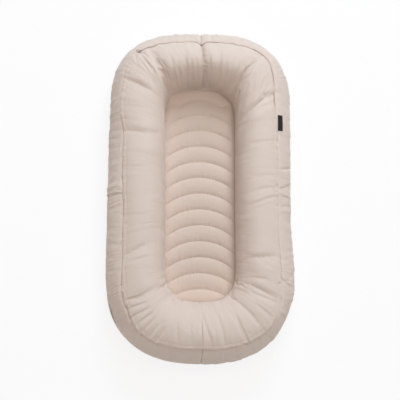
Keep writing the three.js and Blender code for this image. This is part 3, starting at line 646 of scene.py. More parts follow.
def twisted_thread(name, tone):
    """Sewing thread: fine slanting ridges from a wave across the object, and small changes of tone."""
    n = Nodes(name)
    place = n.add("ShaderNodeTexCoord").outputs["Object"]
    slanting = {"bands_direction": "DIAGONAL"}
    twist = n.add("ShaderNodeTexWave", slanting, Vector=place, Scale=1300.0, Distortion=1.0)
    n.finish(Base_Color=n.mix(n.noise(place, 40.0), rgba(tone, 0.9), rgba(tone, 1.06)),
             Normal=n.bump(twist.outputs["Fac"], 0.4, 0.0001), Roughness=0.7, Sheen_Weight=0.3)
    return n.material


def brushed_zinc(name, tone):
    """Die-cast zinc with a satin finish: long faint scratches and a few dull patches."""
    n = Nodes(name)
    place = n.add("ShaderNodeTexCoord").outputs["Object"]
    long = n.add("ShaderNodeMapping", None, Vector=place, Scale=(900.0, 60.0, 900.0))
    scratch = n.noise(long.outputs[0], 1.0, 3.0)
    patch = n.noise(place, 260.0, 3.0)
    n.finish(Base_Color=n.mix(patch, rgba(tone, 0.86), rgba(tone, 1.08)),
             Roughness=n.times_plus(scratch, 0.22, 0.2),
             Normal=n.bump(scratch, 0.12, 0.0001), Metallic=1.0)
    return n.material


def satin_nylon(name, tone):
    """Monofilament nylon: smooth, a little cloudy."""
    n = Nodes(name)
    cloud = n.noise(n.add("ShaderNodeTexCoord").outputs["Object"], 500.0)
    n.finish(Base_Color=n.mix(cloud, rgba(tone, 0.92), rgba(tone, 1.06)),
             Roughness=n.times_plus(cloud, 0.1, 0.34))
    return n.material


def made(kind, name, *values, **settings):
    """The material of this name, made once."""
    return bpy.data.materials.get(name) or kind(name, *values, **settings)


# The photograph's creases, in its pixels

# Each crease has its line of pixels, its depth and half width in millimetres, and its skew: above 0 its
# face on the image's right, or upper, side is the steeper. Deep ones are held while the skin is stuffed,
# by a share of the sewing's strength.
DEEP_CREASES = (
    (((201, 44), (204, 54), (205.4, 68), (205, 81), (204, 93)), 14.0, 9.0, 0.0, 1.0),
    (((150, 51), (158, 64), (163.8, 77), (167.6, 87.5), (171.5, 99)), 19.0, 10.0, -0.45, 1.0),
    (((258, 60), (248.6, 69.5), (241.6, 81), (235, 90), (231, 99)), 16.0, 10.0, 0.45, 0.9),
    (((123, 78), (136, 83), (152, 90)), 6.0, 10.0, 0.4, 0.0),
    (((123, 129), (136, 131), (160, 133)), 5.0, 12.0, 0.4, 0.0),
    (((279, 92), (266, 97.5), (253, 106.5), (242, 119)), 10.0, 10.0, -0.4, 0.0),
    (((276, 256), (260, 256.5), (248, 258)), 5.5, 10.0, -0.4, 0.0),
    (((279, 299), (264, 291), (250, 285)), 6.5, 9.0, -0.3, 0.0),
    (((229, 294), (243, 306), (258, 319)), 5.5, 10.0, 0.3, 0.0),
    (((124, 256), (134, 250), (148, 243)), 4.5, 9.0, 0.3, 0.0),
    (((130, 300), (143, 294), (158, 286)), 4.5, 10.0, 0.3, 0.0),
)
FINE_CREASES = (
    # the sharp line at the bottom of each deep crease
    (((152, 54), (158, 64), (163.8, 77), (167.6, 87.5), (171.5, 99)), 7.5, 3.4, -0.5),
    (((160, 68), (164.2, 79), (167.8, 88.5), (172, 101)), 5.0, 4.4, -0.5),
    (((253, 65), (248.6, 69.5), (241.6, 81), (235, 90), (231, 99)), 7.5, 3.4, 0.5),
    # the pucker in the seam of the left head corner
    (((135, 48.5), (139.5, 52.5), (146, 60), (151, 67)), 4.5, 2.4, 0.3),
    (((136, 52), (136, 58), (138, 66)), 3.0, 2.6, 0.3),
    # the head end, left of its middle: folds that fan out from the pucker in the seam, then the inner wall
    (((141, 51), (150, 58), (158, 69)), 4.7, 3.9, 0.3),
    (((139, 54), (147, 62), (155, 73)), 4.7, 3.9, 0.3),
    (((137, 56), (144, 65), (152, 77)), 4.0, 4.2, 0.3),
    (((131, 61), (143, 70), (154, 82)), 3.2, 6.5, 0.35),
    (((163, 62), (169, 78), (175, 94)), 3.2, 4.5, 0.3),
    (((171, 55), (174, 72), (179, 92)), 4.3, 4.5, 0.3),
    (((178, 62), (180, 76), (183, 92)), 3.6, 3.9, 0.3),
    (((185, 50), (187, 68), (188.5, 92)), 5.4, 4.4, 0.3),
    (((191, 56), (192.5, 72), (194, 92)), 4.7, 3.9, 0.3),
    (((197, 60), (198, 76), (199, 91)), 4.0, 3.9, 0.3),
    # and right of it
    (((210, 56), (211, 72), (210.5, 92)), 4.0, 3.9, 0.3),
    (((214, 62), (214.5, 76), (214, 92)), 3.2, 3.9, 0.3),
    (((221, 48), (220, 66), (218, 92)), 5.4, 4.4, 0.3),
    (((227, 60), (226, 74), (223, 92)), 4.0, 3.9, 0.3),
    (((234, 58), (231, 74), (227, 93)), 4.3, 4.4, 0.3),
    (((241, 62), (237, 76), (231, 92)), 3.2, 4.7, 0.3),
    (((252, 69), (248, 73), (244, 79)), 4.7, 3.4, 0.3),
    # the right side
    (((278, 100), (262, 107), (250, 116)), 2.2, 5.0, -0.35),
    (((280, 176), (268, 175), (254, 177)), 1.5, 4.4, -0.3),
    (((280, 187), (266, 187.5), (253, 191)), 2.0, 4.2, -0.3),
    (((281, 195), (267, 198.5), (250, 205)), 3.0, 4.4, -0.3),
    (((279, 201), (266, 204.5), (254, 209)), 1.6, 4.2, -0.3),
    (((275, 140), (250, 143)), 2.0, 5.0, -0.35),
    (((268, 279), (250, 277)), 2.8, 4.0, -0.35),
    (((279, 303), (264, 297), (250, 292)), 3.1, 4.0, -0.35),
    # the foot end
    (((202, 314), (207, 328), (212, 345)), 5.1, 4.5, 0.3),
    (((217, 313), (222, 328), (226, 345)), 4.5, 4.5, 0.3),
    (((236, 315), (242, 329), (249, 343)), 5.1, 4.5, 0.3),
    (((190, 320), (192, 346)), 2.6, 4.0, 0.3),
    (((177, 318), (178, 345)), 3.2, 4.0, 0.3),
    (((250, 312), (262, 328)), 2.9, 4.0, 0.3),
    (((258, 305), (271, 316)), 2.9, 4.0, 0.35),
    # gathers at the seam of the left foot corner
    (((155, 343.5), (166, 327)), 3.8, 3.0, -0.3),
    (((148, 338.5), (162, 322)), 3.5, 3.0, -0.3),
    (((141.5, 332.5), (157, 317)), 3.8, 3.0, -0.3),
    (((135.5, 325), (153, 312)), 3.5, 3.0, 0.35),
    (((131, 317.5), (150, 307)), 3.5, 3.2, 0.35),
    (((127.5, 309), (146, 302)), 3.2, 3.2, 0.35),
    (((124.5, 300), (143, 296)), 2.9, 3.4, 0.35),
    # the left side
    (((124, 105), (150, 108)), 1.3, 5.0, 0.35),
    (((124, 166), (148, 167)), 1.2, 6.0, 0.35),
    (((131, 261), (147, 256)), 2.0, 4.0, 0.35),
    (((125, 215), (150, 214)), 1.2, 6.0, 0.35),
    # the band
    (((281, 278), (286, 282.5), (293, 289)), 3.4, 3.0, 0.35),
    (((280, 170), (291, 168.5)), 2.6, 3.6, 0.35),
    (((280, 178), (291, 180)), 2.0, 3.4, 0.35),
    (((280, 189), (285, 187.5), (291, 184.5)), 3.8, 3.4, 0.35),
    (((280, 196.5), (291, 198)), 2.6, 3.4, 0.35),
    (((280, 207), (291, 206)), 2.0, 3.8, 0.35),
    (((109, 132), (121, 130)), 2.0, 5.0, 0.35),
    (((262, 331), (272, 342)), 2.0, 4.0, 0.3),
    (((170, 350), (163, 358)), 1.6, 5.0, 0.3),
    (((146, 334), (135, 343)), 1.6, 5.0, -0.35),
)

# A crease's line has this many points. Each is a mean of the surface seen within about the first number of
# pixels, searched as far as the second from the line's box.
SPINE_POINTS = 21
SEEN_WITHIN, SEARCHED_WITHIN = 1.1, 4

# The camera that took the photograph, and the photograph's width
CAMERA_TARGET, CAMERA_DISTANCE, CAMERA_FOCUS = Vector((-0.0009, -0.0085, 0.05)), 3.2, 1293.0
CAMERA_TURN, CAMERA_TILT = math.radians(-3.5), math.radians(9.27)
CAMERA_BACK = Vector((math.tan(CAMERA_TURN), -math.tan(CAMERA_TILT), 1)).normalized()
CAMERA_RIGHT = Vector((0, 1, 0)).cross(CAMERA_BACK).normalized()
CAMERA_UP = CAMERA_BACK.cross(CAMERA_RIGHT)
PHOTO_WIDTH = 400


def in_photo(points):
    """Pixels of the photograph at which the camera sees points."""
    away = points - np.array(CAMERA_TARGET + CAMERA_BACK * CAMERA_DISTANCE)
    depth = -(away @ np.array(CAMERA_BACK))
    right = CAMERA_FOCUS * (away @ np.array(CAMERA_RIGHT)) / depth
    up = CAMERA_FOCUS * (away @ np.array(CAMERA_UP)) / depth
    return np.stack([PHOTO_WIDTH / 2 + right, PHOTO_WIDTH / 2 - up], -1)


def spine_of(points, pixels, seen):
    """Line on a surface under a line of pixels: each of its points is the mean of the surface's points near
    that pixel, weighted by exp(-(distance / 1.1 pixels)^2 + height / 20 mm), so that what lies hidden
    below counts for little."""
    pixels = np.asarray(pixels, float)
    run = run_of(pixels)
    line = sampled(pixels, run, np.linspace(0, run[-1], SPINE_POINTS))
    low, high = line.min(0) - SEARCHED_WITHIN, line.max(0) + SEARCHED_WITHIN
    box = (seen > low).all(-1) & (seen < high).all(-1)
    near, place = points[box], seen[box]
    if len(near) < 4:
        return None
    apart = ((place[None] - line[:, None]) ** 2).sum(-1)
    weight = np.exp(-apart / SEEN_WITHIN ** 2 + near[:, 2] / (20 * MM)) + 1e-12
    return (weight @ near) / weight.sum(1, keepdims=True)


def crease_field(points, creases, overlap=0.3):
    """Depth pushed in at each point by creases, and how firmly each is held. Depth falls off with distance
    from the crease as exp(-d/w), which leaves a sharp valley between full lobes, and a bell of 0.12 at 2.2 w
    is taken off it, which raises the lobes. It fades toward the crease's two ends. A skew k makes w a share
    k less on one side and more on the other, as where one lobe laps over the next."""
    shape = points.shape[:-1]
    points = points.reshape(-1, 3)
    seen = in_photo(points)
    depth, held = np.zeros(len(points)), np.zeros(len(points))
    for pixels, deep, half_width, skew, *firm in creases:
        spine = spine_of(points, pixels, seen)
        if spine is None:
            continue
        reach = 5 * half_width * MM
        box = (points > spine.min(0) - reach) & (points < spine.max(0) + reach)
        near = np.nonzero(box.all(-1))[0]
        apart = np.linalg.norm(points[near, None] - spine[None], axis=-1)
        d, closest = apart.min(-1), apart.argmin(-1)
        fade = arch((closest + 1.0) / (SPINE_POINTS + 1), 0.6)
        line = in_photo(spine)
        ahead, aside = unit(np.gradient(line, axis=0))[closest], seen[near] - line[closest]
        side = np.tanh(ahead[:, 1] * aside[:, 0] - ahead[:, 0] * aside[:, 1])
        wide = half_width * MM * (1 - skew * side)
        soft = np.sqrt(d ** 2 + (0.12 * wide) ** 2)
        push = deep * MM * fade * (np.exp(-soft / wide) - 0.12 * bell(d, 2.2 * wide, wide))
        before = depth[near]
        depth[near] = np.where(push > before, push + overlap * before, before + overlap * push)
        if firm:
            held[near] = np.maximum(held[near], firm[0] * fade * (d < 4 * MM))
    return depth.reshape(shape), held.reshape(shape)


# The cover as one sewn skin, stuffed by a cloth simulation

TURNS, BAND_STEPS, CROWN_STEPS = 440, 25, 39

# Stuffing: its pressure, how many steps it takes, how far a point may move, and into how many levels the
# firmness of the sewing is rounded
PRESSURE, STUFFING_STEPS, FARTHEST = 5.0, 22, 9 * MM
SEWN_LEVELS = 8

# How far the band bellies out of its section, in millimetres: everywhere, and more or less in hills along
# the plan, each with its height, place and half width. It draws in where the photograph's outline does.
BELLY = 1.5
BELLY_RIGHT = ((-8.2, -0.055, 0.085), (-2.8, 0.06, 0.06), (-7.0, -0.31, 0.05))
BELLY_LEFT = ((1.6, -0.02, 0.17), (-5.0, -0.30, 0.07))

# Ripples of the outer seam, inward: height, turn and half width in turns. The first is the dip at the
# head's middle.
RIPPLES = ((6 * MM, 1.0, 0.008), (1.5 * MM, 0.944, 0.006), (-1.5 * MM, 0.93, 0.006),
           (1.5 * MM, 0.913, 0.006), (2.5 * MM, 1.118, 0.006))


def by_foot(turn, half):
    """Bells of turn at the foot's middle, from both sides."""
    return bell(turn, 0, half) + bell(turn, 2, half)


def stuff(name, start, cut, sewn):
    """Cloth simulation of a sewn skin: it is cut as large as the cut shape, sewn fast where sewn is 1, and
    blown out by pressure for some steps without gravity. No point moves farther than FARTHEST from where
    it started: a distance d becomes FARTHEST tanh(d / FARTHEST)."""
    rows, columns = start.shape[:2]
    mesh = new_mesh(name, start, [quads(rows, columns, True)])
    skin = bpy.data.objects.new(name, mesh)
    scene = bpy.context.scene
    scene.collection.objects.link(skin)
    skin.shape_key_add(name="Sewn")
    skin.shape_key_add(name="Cut").data.foreach_set("co", cut.astype(np.float32).ravel())
    group = skin.vertex_groups.new(name="sewn")
    levels = np.round(sewn.ravel() * SEWN_LEVELS).astype(int)
    for level in range(1, SEWN_LEVELS + 1):
        group.add(np.nonzero(levels == level)[0].tolist(), level / SEWN_LEVELS, "REPLACE")
    cloth = skin.modifiers.new("Cloth", "CLOTH")
    settings = cloth.settings
    settings.quality = 5
    settings.mass = 0.2
    settings.tension_stiffness = settings.compression_stiffness = 25
    settings.shear_stiffness = 10
    settings.bending_stiffness = 0.6
    settings.tension_damping = settings.compression_damping = 15
    settings.air_damping = 2
    settings.vertex_group_mass = "sewn"
    settings.pin_stiffness = 1.0
    settings.rest_shape_key = skin.data.shape_keys.key_blocks["Cut"]
    settings.use_pressure = True
    settings.uniform_pressure_force = PRESSURE
    settings.effector_weights.gravity = 0
    cloth.collision_settings.use_collision = False
    cloth.collision_settings.use_self_collision = False
    for step in range(1, STUFFING_STEPS + 1):
        scene.frame_set(step)
    settled = skin.evaluated_get(bpy.context.evaluated_depsgraph_get()).data
    found = np.zeros(rows * columns * 3, np.float32)
    settled.vertices.foreach_get("co", found)
    scene.frame_set(1)
    bpy.data.objects.remove(skin)
    bpy.data.meshes.remove(mesh)
    moved = found.reshape(rows, columns, 3).astype(float) - start
    far = np.linalg.norm(moved, axis=-1, keepdims=True)
    print(name, "moved", round(float(far.mean()) * 1000, 2), "mm, most", round(float(far.max()) * 1000, 2))
    return start + moved * (FARTHEST * np.tanh(far / FARTHEST) / np.maximum(far, 1e-9))


class Cover:
    """The stuffed skin from the base seam up the band and over the crown to the inner seam, as grids that
    pieces are cut from. Rows 0 to 1 are the band and 1 to 2 the crown."""

    def __init__(self, sizes):
        self.plan = Plan(sizes)
        turn = np.arange(TURNS) * 2 / TURNS
        band_row, crown_row = np.linspace(0, 1, BAND_STEPS + 1), np.linspace(0, 1, CROWN_STEPS + 1)
        row = np.concatenate([band_row, 1 + crown_row[1:]])
        grid = self.section_grid(turn, row)
        normals = grid_normals(grid, True)
        depth, held = crease_field(grid, DEEP_CREASES)
        t, r = turn[:, None], row[None, :]
        start = self.bellied(grid, normals, depth, t, r)
        self.ripple_seam(start, turn, r)
        cut = self.with_spare_cloth(start, normals, t, r)
        sewn = self.sewn_places(start, held, t, r)
        start[..., 2] = np.maximum(start[..., 2], 3 * MM)
        settled = stuff("cover_skin", start, cut, sewn)
        self.band, self.crown = settled[:, :BAND_STEPS + 1], settled[:, BAND_STEPS:]

    def section_grid(self, turn, row):
        """The smooth cover. The join in the head's middle is bent: it starts a little left and runs right on
        its way down. The outer seam lies lower at the head end and a little higher round the foot, where
        the crown is flatter."""
        grid = self.plan.at(turn, row)
        bend = 8 * np.sin(0.75 * np.pi * np.clip(row - 1, 0, 1)) - 2 * np.minimum(row, 1)
        grid[..., 0] += bell(turn, 1.0, 0.03)[:, None] * bend * MM
        lift = 8 * by_foot(turn, 0.22) - 6 * bell(turn, 1, 0.2)
        grid[..., 2] += lift[:, None] * MM * np.cos(np.pi / 2 * np.clip(np.abs(row - 1) / 0.4, 0, 1)) ** 2
        return grid

    def bellied(self, grid, normals, depth, t, r):
        """The grid with its fabric bellied out between the seams, stuffed a little unevenly, and pushed in
        at the deep creases, which end short of the inner seam."""
        y = grid[..., 1]
        full = BELLY + np.where(t < 1, bells(y, BELLY_RIGHT), bells(y, BELLY_LEFT))
        belly = arch(r) * (r <= 1) * full * MM
        uneven = noise(t * 11, r * 3, 5, 22) * 1.6 * MM + noise(t * 27, r * 5, 6, 54) * 0.7 * MM
        loose = arch(r, 0.5) * (r < 1) + arch(r - 1, 0.5) * (r > 1)
        pushed = depth * np.clip((2 - r) / 0.09, 0, 1)
        return grid + normals * ((belly + uneven * loose) - pushed)[..., None]

    def ripple_seam(self, start, turn, r):
        """Ripples the outer seam, and draws it down between the full band and the full crown."""
        t, near_foot = turn[:, None], by_foot(turn, 0.22)[:, None]
        ripple = bells(t, RIPPLES) + noise(t * 60, r * 0, 9, 120) * (0.8 + 0.6 * near_foot) * MM
        on_seam = fading(np.abs(r - 1), 0.12)
        stations = self.plan.stations(turn)
        inward, side = stations[1], stations[-1]
        inward = inward * np.stack([side, np.ones_like(side)], -1)
        start[..., :2] += inward[:, None] * (ripple * on_seam)[..., None]
        start[..., 2] -= (2.6 - 1.8 * near_foot) * MM * fading(np.abs(r - 1), 0.05)

    def with_spare_cloth(self, start, normals, t, r):
        """The shape that the skin is cut to: every other station stands off, most near the seams, so that
        the cloth has some to spare and gathers there."""
        near_top, near_low = fading(np.abs(r - 1), 0.14), fading(2 - r, 0.2)
        spare = 0.35 + 0.75 * near_top + 0.9 * near_low + 0.35 * noise(t * 18, r * 2, 12, 36)
        sign = np.where(np.arange(TURNS) % 2, 1.0, -1.0)[:, None]
        return start + normals * (sign * np.maximum(spare, 0.1) * MM)[..., None]

    def sewn_places(self, start, held, t, r):
        """1 at the three seams and round the zip, half that at the joins of the band, and what the deep
        creases are held by."""
        sizes = self.plan.sizes
        sewn = held.copy()
        sewn[:, [0, BAND_STEPS, -1]] = 1
        join = self.plan.turn_at(sizes.join_place, -1)
        at_zip = (t > join - 0.004) & (np.abs(start[..., 2] - sizes.zip_height) < 19 * MM) & (r < 1)
        sewn[np.broadcast_to(at_zip, sewn.shape)] = 1
        for middle in (0.0, 1.0, 2.0):
            sewn[:, :BAND_STEPS] = np.maximum(sewn[:, :BAND_STEPS], 0.5 * (np.abs(t - middle) < 0.002))
        return sewn

    def cut_from(self, grid, turn, row):
        """Points of the band's or the crown's grid at turns, by rows 0 to 1."""
        steps = grid.shape[1] - 1
        return cubic(cubic(grid, np.asarray(turn) * TURNS / 2, 0, True), np.asarray(row) * steps, 1, False)

    def cut_band(self, turn, row):
        return self.cut_from(self.band, turn, row)

    def cut_crown(self, turn, row):
        return self.cut_from(self.crown, turn, row)

    def front_of(self, cut, turn, row, relief):
        """Points of a piece with its relief, and its normals. One more station at each end makes both the
        same in two pieces that meet."""
        step = turn[1] - turn[0]
        wide = np.concatenate([[turn[0] - step], turn, [turn[-1] + step]])
        base = cut(wide, row)
        front = base + grid_normals(base) * relief(wide, base)[..., None]
        return front[1:-1], grid_normals(front)[1:-1]

    def seam_frame(self, turn, kind):
        """Point, across and out directions along the outer, inner or base seam."""
        beside = 0.03
        if kind == "outer":
            here = self.cut_crown(turn, [0.0, beside])
            below = self.cut_band(turn, [1 - beside, 1.0])
            up, down = unit(here[:, 1] - here[:, 0]), unit(below[:, 0] - below[:, 1])
            return here[:, 0], unit(up - down), -unit(up + down + 1e-9)
        if kind == "inner":
            here = self.cut_crown(turn, [1.0, 1 - beside])
            across, out = here[:, 0] - here[:, 1], [0.0, 0.0, 1.0]
        else:
            here = self.cut_band(turn, [0.0, beside])
            across, out = here[:, 1] - here[:, 0], [0.0, 0.0, -1.0]
        return here[:, 0], unit(across * [1, 1, 0]), np.tile(out, (len(turn), 1))


# What one operator makes and others use: the cover, and the fronts of its crown
shared = {}


def cover_of(context):
    """The stuffed cover, made once and shared by the operators."""
    if "skin" not in shared:
        shared["skin"] = Cover(context.scene.lounger_sizes)
    return shared["skin"]


def given(context):
    """The cover, the colours and the sizes."""
    return cover_of(context), context.scene.lounger_colours, context.scene.lounger_sizes


# Folds and gathers

def streaks(t, r, seed, spacing, length, plan):
    """Folds that run across a strip: noise n that changes fast along the loop and slowly across the strip,
    bent a little by a second noise, made into sharp valleys and round ridges by 2 |n|^0.8 - 0.7."""
    cells = int(plan.half_round / spacing)
    bend = noise(t * cells / 4, r * 2, seed + 500, cells // 2) * 0.9
    return 2 * np.abs(noise(t * cells + bend, r * length, seed, 2 * cells)) ** 0.8 - 0.7


def gathers(t, r, plan):
    """Gathers of the crown, radial. They are fullest on the inner wall at the head end and near both seams
    at the foot end."""
    head, foot = bell(t, 1.0, 0.17), by_foot(t % 2, 0.24)
    inner, outer = fading(1 - r, 0.32), fading(r, 0.28)
    at_head, at_foot = 1.3 * head * inner, 0.9 * foot * (0.3 * inner + 0.9 * outer)
    wide = streaks(t, r, 101, 19 * MM, 1.2, plan) * (0.35 + at_head + at_foot + 0.4 * inner)
    at_head, at_foot = 0.7 * head * inner, 0.35 * foot * (0.5 * inner + outer)
    narrow = streaks(t, r, 103, 8 * MM, 2.2, plan) * (0.12 + at_head + at_foot + 0.3 * inner + 0.2 * outer)
    soft = noise(t * 40, r * 3, 105, 80) * 0.7
    return (1.1 * wide + narrow + soft) * MM * arch(np.clip(r, 0.012, 0.988), 0.4)


def over_crown(turn):
    """1 where the band's edge laps over the crown, at the head end, and 0 where the crown's edge laps over
    the band: a smoothstep up on the right side and one down at the pucker of the left head corner."""
    turn = turn % 2
    return smoothstep((turn - 0.64) / 0.06) * (1 - smoothstep((turn - 1.148) / 0.014))


def tight_side(turn):
    """1 along the right side, where the outer seam lies tight in its groove: a smoothstep up past the foot
    corner and one down."""
    turn = turn % 2
    return smoothstep((turn - 0.26) / 0.05) * (1 - smoothstep((turn - 0.66) / 0.04))


def pucker(turn):
    """A bell of turn at the pucker of the left head corner, where the two laps change over."""
    return bell(turn % 2, 1.161, 0.005)


def puckers(turn, from_seam, seed, count, height):
    """Short gathers that start at a seam: noise along the seam, fading over the distance from it."""
    along = noise(turn * count / 2, 0.5, seed, count) + 0.5 * noise(turn * count, 0.5, seed + 1, 2 * count)
    return along * height * fading(from_seam, 9 * MM)


# The cover

# The row of stitches beside the outer seam lies this far from it, along the crown
TOPSTITCH = 7.5 * MM

# The left band's head strip laps this far over the zip, and stands off from this far before the join. The
# two strips beside the zip end this far from its middle.
LAP, LAP_LIFTS_FROM, ZIP_OPENING = 2.5 * MM, 12 * MM, 5 * MM

# The top stop lies this far from the join, toward the foot, and the slider at rest this far from the stop
STOP_FROM_JOIN, SLIDER_FROM_STOP = 1.8 * MM, 7.3 * MM

# Room for the folded pull between its pin and the lapped end: at the pin, and more over this slope. The
# press reaches this far above and below the zip and this far from the pin, and fades over the second length.
PULL_ROOM, PULL_SLOPE = 1.13 * MM, 0.087
PRESS_BESIDE, PRESS_AHEAD = (14 * MM, 9 * MM), (34 * MM, 8 * MM)

# Seam edges, in millimetres: half width, half height, and how far the middle stands out and aside
SEAM_STATIONS = 1320
SEAM_EDGES = (("outer", 1.1, 3.1, -0.2, 0.0), ("inner", 2.3, 3.0, -3.2, 0.6), ("base", 1.3, 1.6, 0.4, 0.0))


def crown_relief(plan, turn, row, base):
    """Relief of the crown: gathers, short gathers at the outer seam, its rolled or grooved edge there, the
    dents of the row of stitches and of the join at each middle, and the photograph's creases."""
    t, run = turn[:, None], row[None, :] * plan.crown_length
    creases, _ = crease_field(base, FINE_CREASES, 0.5)
    pulled = puckers(t, run, 21, 240, 1.1 * MM) + puckers(t, run, 23, 366, 1.0 * MM)
    over = over_crown(t)
    groove = (4.4 + 0.6 * bell(t, 0.8, 0.10)) * over * fading(run, 3.1 * MM)
    groove = groove + 6.5 * pucker(t) * fading(run, 8 * MM)
    rolled = 2.8 * MM * (1 - over) * (1 - 0.35 * tight_side(t)) * bell(run, 0, 6.5 * MM)
    dents = 0.7 * MM * bell(run, TOPSTITCH, 1.7 * MM)
    dents = dents + (0.6 + 3.4 * bell(t, 1, 0.03)) * MM * fading(plan.from_middles(t), 2.3 * MM)
    creases = creases * np.clip((1 - row) / 0.06, 0, 1)
    return gathers(t, row[None, :], plan) + pulled + (rolled - groove * MM) - dents - creases


def band_relief(plan, t, r, base):
    """Relief of the band: short gathers at both its seams, soft folds between them, the photograph's
    creases, and the dents of the join at each middle and of the pucker."""
    from_top, from_low = (1 - r) * plan.band_length, r * plan.band_length
    small = puckers(t, from_top, 51, 240, 1.0 * MM) + puckers(t, from_low, 61, 200, 0.8 * MM)
    folds = streaks(t, r, 55, 26 * MM, 0.6, plan) * 1.1 * MM + streaks(t, r, 57, 9 * MM, 1.2, plan) * 0.8 * MM
    creases, _ = crease_field(base, FINE_CREASES, 0.5)
    join = 2.4 * MM * fading(plan.from_middles(t), 1.7 * MM)
    return small + folds * between_seams(r) - creases - join - 6.0 * MM * pucker(t) * fading(from_top, 6 * MM)


def between_seams(r):
    """sqrt(sin(pi r)) across the band, a little above 0 at its two seams."""
    return arch(np.clip(r, 0.02, 0.98), 0.5)


def band_edge(t, from_top):
    """Relief of the band's top edge: it laps over the crown at the head end, and elsewhere lies in a groove
    under the crown's edge."""
    over = over_crown(t)
    groove = (3.6 + 3.2 * tight_side(t)) * (1 - over) * fading(from_top, 2.3 * MM)
    return (1.4 * over * fading(from_top, 5 * MM) - groove) * MM


def lapped_end(plan, t, r, base, relief):
    """Relief of the strip that laps over the zip: its end stands off the cloth under it, with a fold and a
    few ribs beside it. Where the folded pull lies over it, it is pressed in to leave the pull its room."""
    sizes = plan.sizes
    start = plan.turn_at(sizes.join_place + LAP_LIFTS_FROM, -1)
    end = plan.turn_at(sizes.join_place - LAP, -1)
    y = base[..., 1]
    stands_off = 2.1 * MM * smoothstep((t - start) / (end - start))
    fold = 2.6 * MM * bell(y, 0.013, 0.007)
    ribs = 0.5 * MM * np.sin(2 * np.pi * y / 0.0064) * bell(y, 0.014, 0.010)
    relief = relief + between_seams(r) ** 0.4 * (stands_off + fold + ribs)
    pin, out_of_band, to_foot = slider_place(plan)
    ahead, beside = (pin - base) @ to_foot, np.abs(base[..., 2] - sizes.zip_height)
    press = np.clip((PRESS_BESIDE[0] - beside) / PRESS_BESIDE[1], 0, 1)
    press = press * np.clip((PRESS_AHEAD[0] - ahead) / PRESS_AHEAD[1], 0, 1)
    in_the_way = (base - pin) @ out_of_band + relief - (PULL_ROOM + PULL_SLOPE * ahead)
    return relief - smoothstep(press) * np.maximum(in_the_way, 0)


def flat_by_zip(plan, base, relief):
    """Relief of a strip beside the zip: a dent under the lapped end, and flat where the tape is sewn on."""
    relief = relief - 1.2 * MM * bell(base[..., 1], -0.0075, 0.0015)
    return relief * np.clip(np.abs(base[..., 2] - plan.sizes.zip_height) / 0.018 - 0.5, 0, 1)


def zip_frame(plan, y):
    """Place on the zip's line at a height of the plan on the left side: point, outward direction, and
    direction toward the foot."""
    outer, inward, *_ = plan.stations(np.array([plan.turn_at(y, -1)]))
    point = np.array([-outer[0, 0], outer[0, 1], plan.sizes.zip_height])
    out = np.array([inward[0, 0], -inward[0, 1], 0.0])
    return point, out, np.cross([0, 0, 1.0], out)


def slider_place(plan):
    """Place of the slider at rest."""
    return zip_frame(plan, plan.sizes.join_place - STOP_FROM_JOIN - SLIDER_FROM_STOP)


def rows_beside_zip(cover):
    """Rows of the band at which the strips below and above the zip end, half way along the left side."""
    heights, rows = cover.band[TURNS * 3 // 4, :, 2], np.linspace(0, 1, BAND_STEPS + 1)
    middle = cover.plan.sizes.zip_height
    return [float(np.interp(middle + d, heights, rows)) for d in (-ZIP_OPENING, ZIP_OPENING)]


class LOUNGER_OT_bumper(bpy.types.Operator):
    """Makes the two gathered halves of the bumper's cover"""
    bl_idname = "lounger.bumper"
    bl_label = "Bumper cover"

    def execute(self, context):
        cover, colours, sizes = given(context)
        plan = cover.plan
        cloth = made(cotton, "cover cotton", colours.cover)
        row = np.concatenate([np.linspace(0, 0.06, 13), np.linspace(0.06, 1, 85)[1:]])

        def relief(turn, base):
            return crown_relief(plan, turn, row, base)

        shared["crown"] = []
        for side, first in (("right", 0.0), ("left", 1.0)):
            front, out = cover.front_of(cover.cut_crown, np.linspace(first, first + 1, 553), row, relief)
            shared["crown"].append((front, out, row * plan.crown_length))
            mesh = slab(f"bumper_cover_{side}", front, sizes.cloth, out)
            nodes = (f"bumper_panel_{side}",)
            piece = new_piece(f"bumper_cover_{side}", mesh, cloth, replaces=nodes)
        return {"FINISHED"}


class LOUNGER_OT_side_band(bpy.types.Operator):
    """Makes the side band, which opens along the zip on the left"""
    bl_idname = "lounger.side_band"
    bl_label = "Side band"

    def execute(self, context):
        cover, colours, sizes = given(context)
        plan = cover.plan
        cloth = made(cotton, "cover cotton", colours.cover)
        join, lap = plan.turn_at(sizes.join_place, -1), plan.turn_at(sizes.join_place - LAP, -1)
        low, high = rows_beside_zip(cover)
        strips = (
            ("side_band_right", 0.0, 1.0, 0.0, 1.0, 553, 65),
            ("side_band_left_head", 1.0, lap, 0.0, 1.0, 265, 65),
            ("side_band_left_above_zip", join, 2.0, high, 1.0, 289, 41),
            ("side_band_left_below_zip", join, 2.0, 0.0, low, 289, 17),
        )
        for name, first, last, bottom, top, rows, columns in strips:
            # the rows of a strip that ends at the outer seam lie closer together there
            step = np.linspace(0, 1, columns)
            row = bottom + (top - bottom) * (1 - (1 - step) ** 1.35 if top == 1 else step)

            def relief(turn, base):
                t, r = turn[:, None], row[None, :]
                total = band_relief(plan, t, r, base)
                if name == "side_band_left_head":
                    total = lapped_end(plan, t, r, base, total)
                elif "zip" in name:
                    total = flat_by_zip(plan, base, total)
                return total + band_edge(t, (1 - r) * plan.band_length)

            front, out = cover.front_of(cover.cut_band, np.linspace(first, last, rows), row, relief)
            mesh = slab(name + "_cloth", front, sizes.cloth, out)
            piece = new_piece(name + "_cloth", mesh, cloth, replaces=(name,))
        return {"FINISHED"}


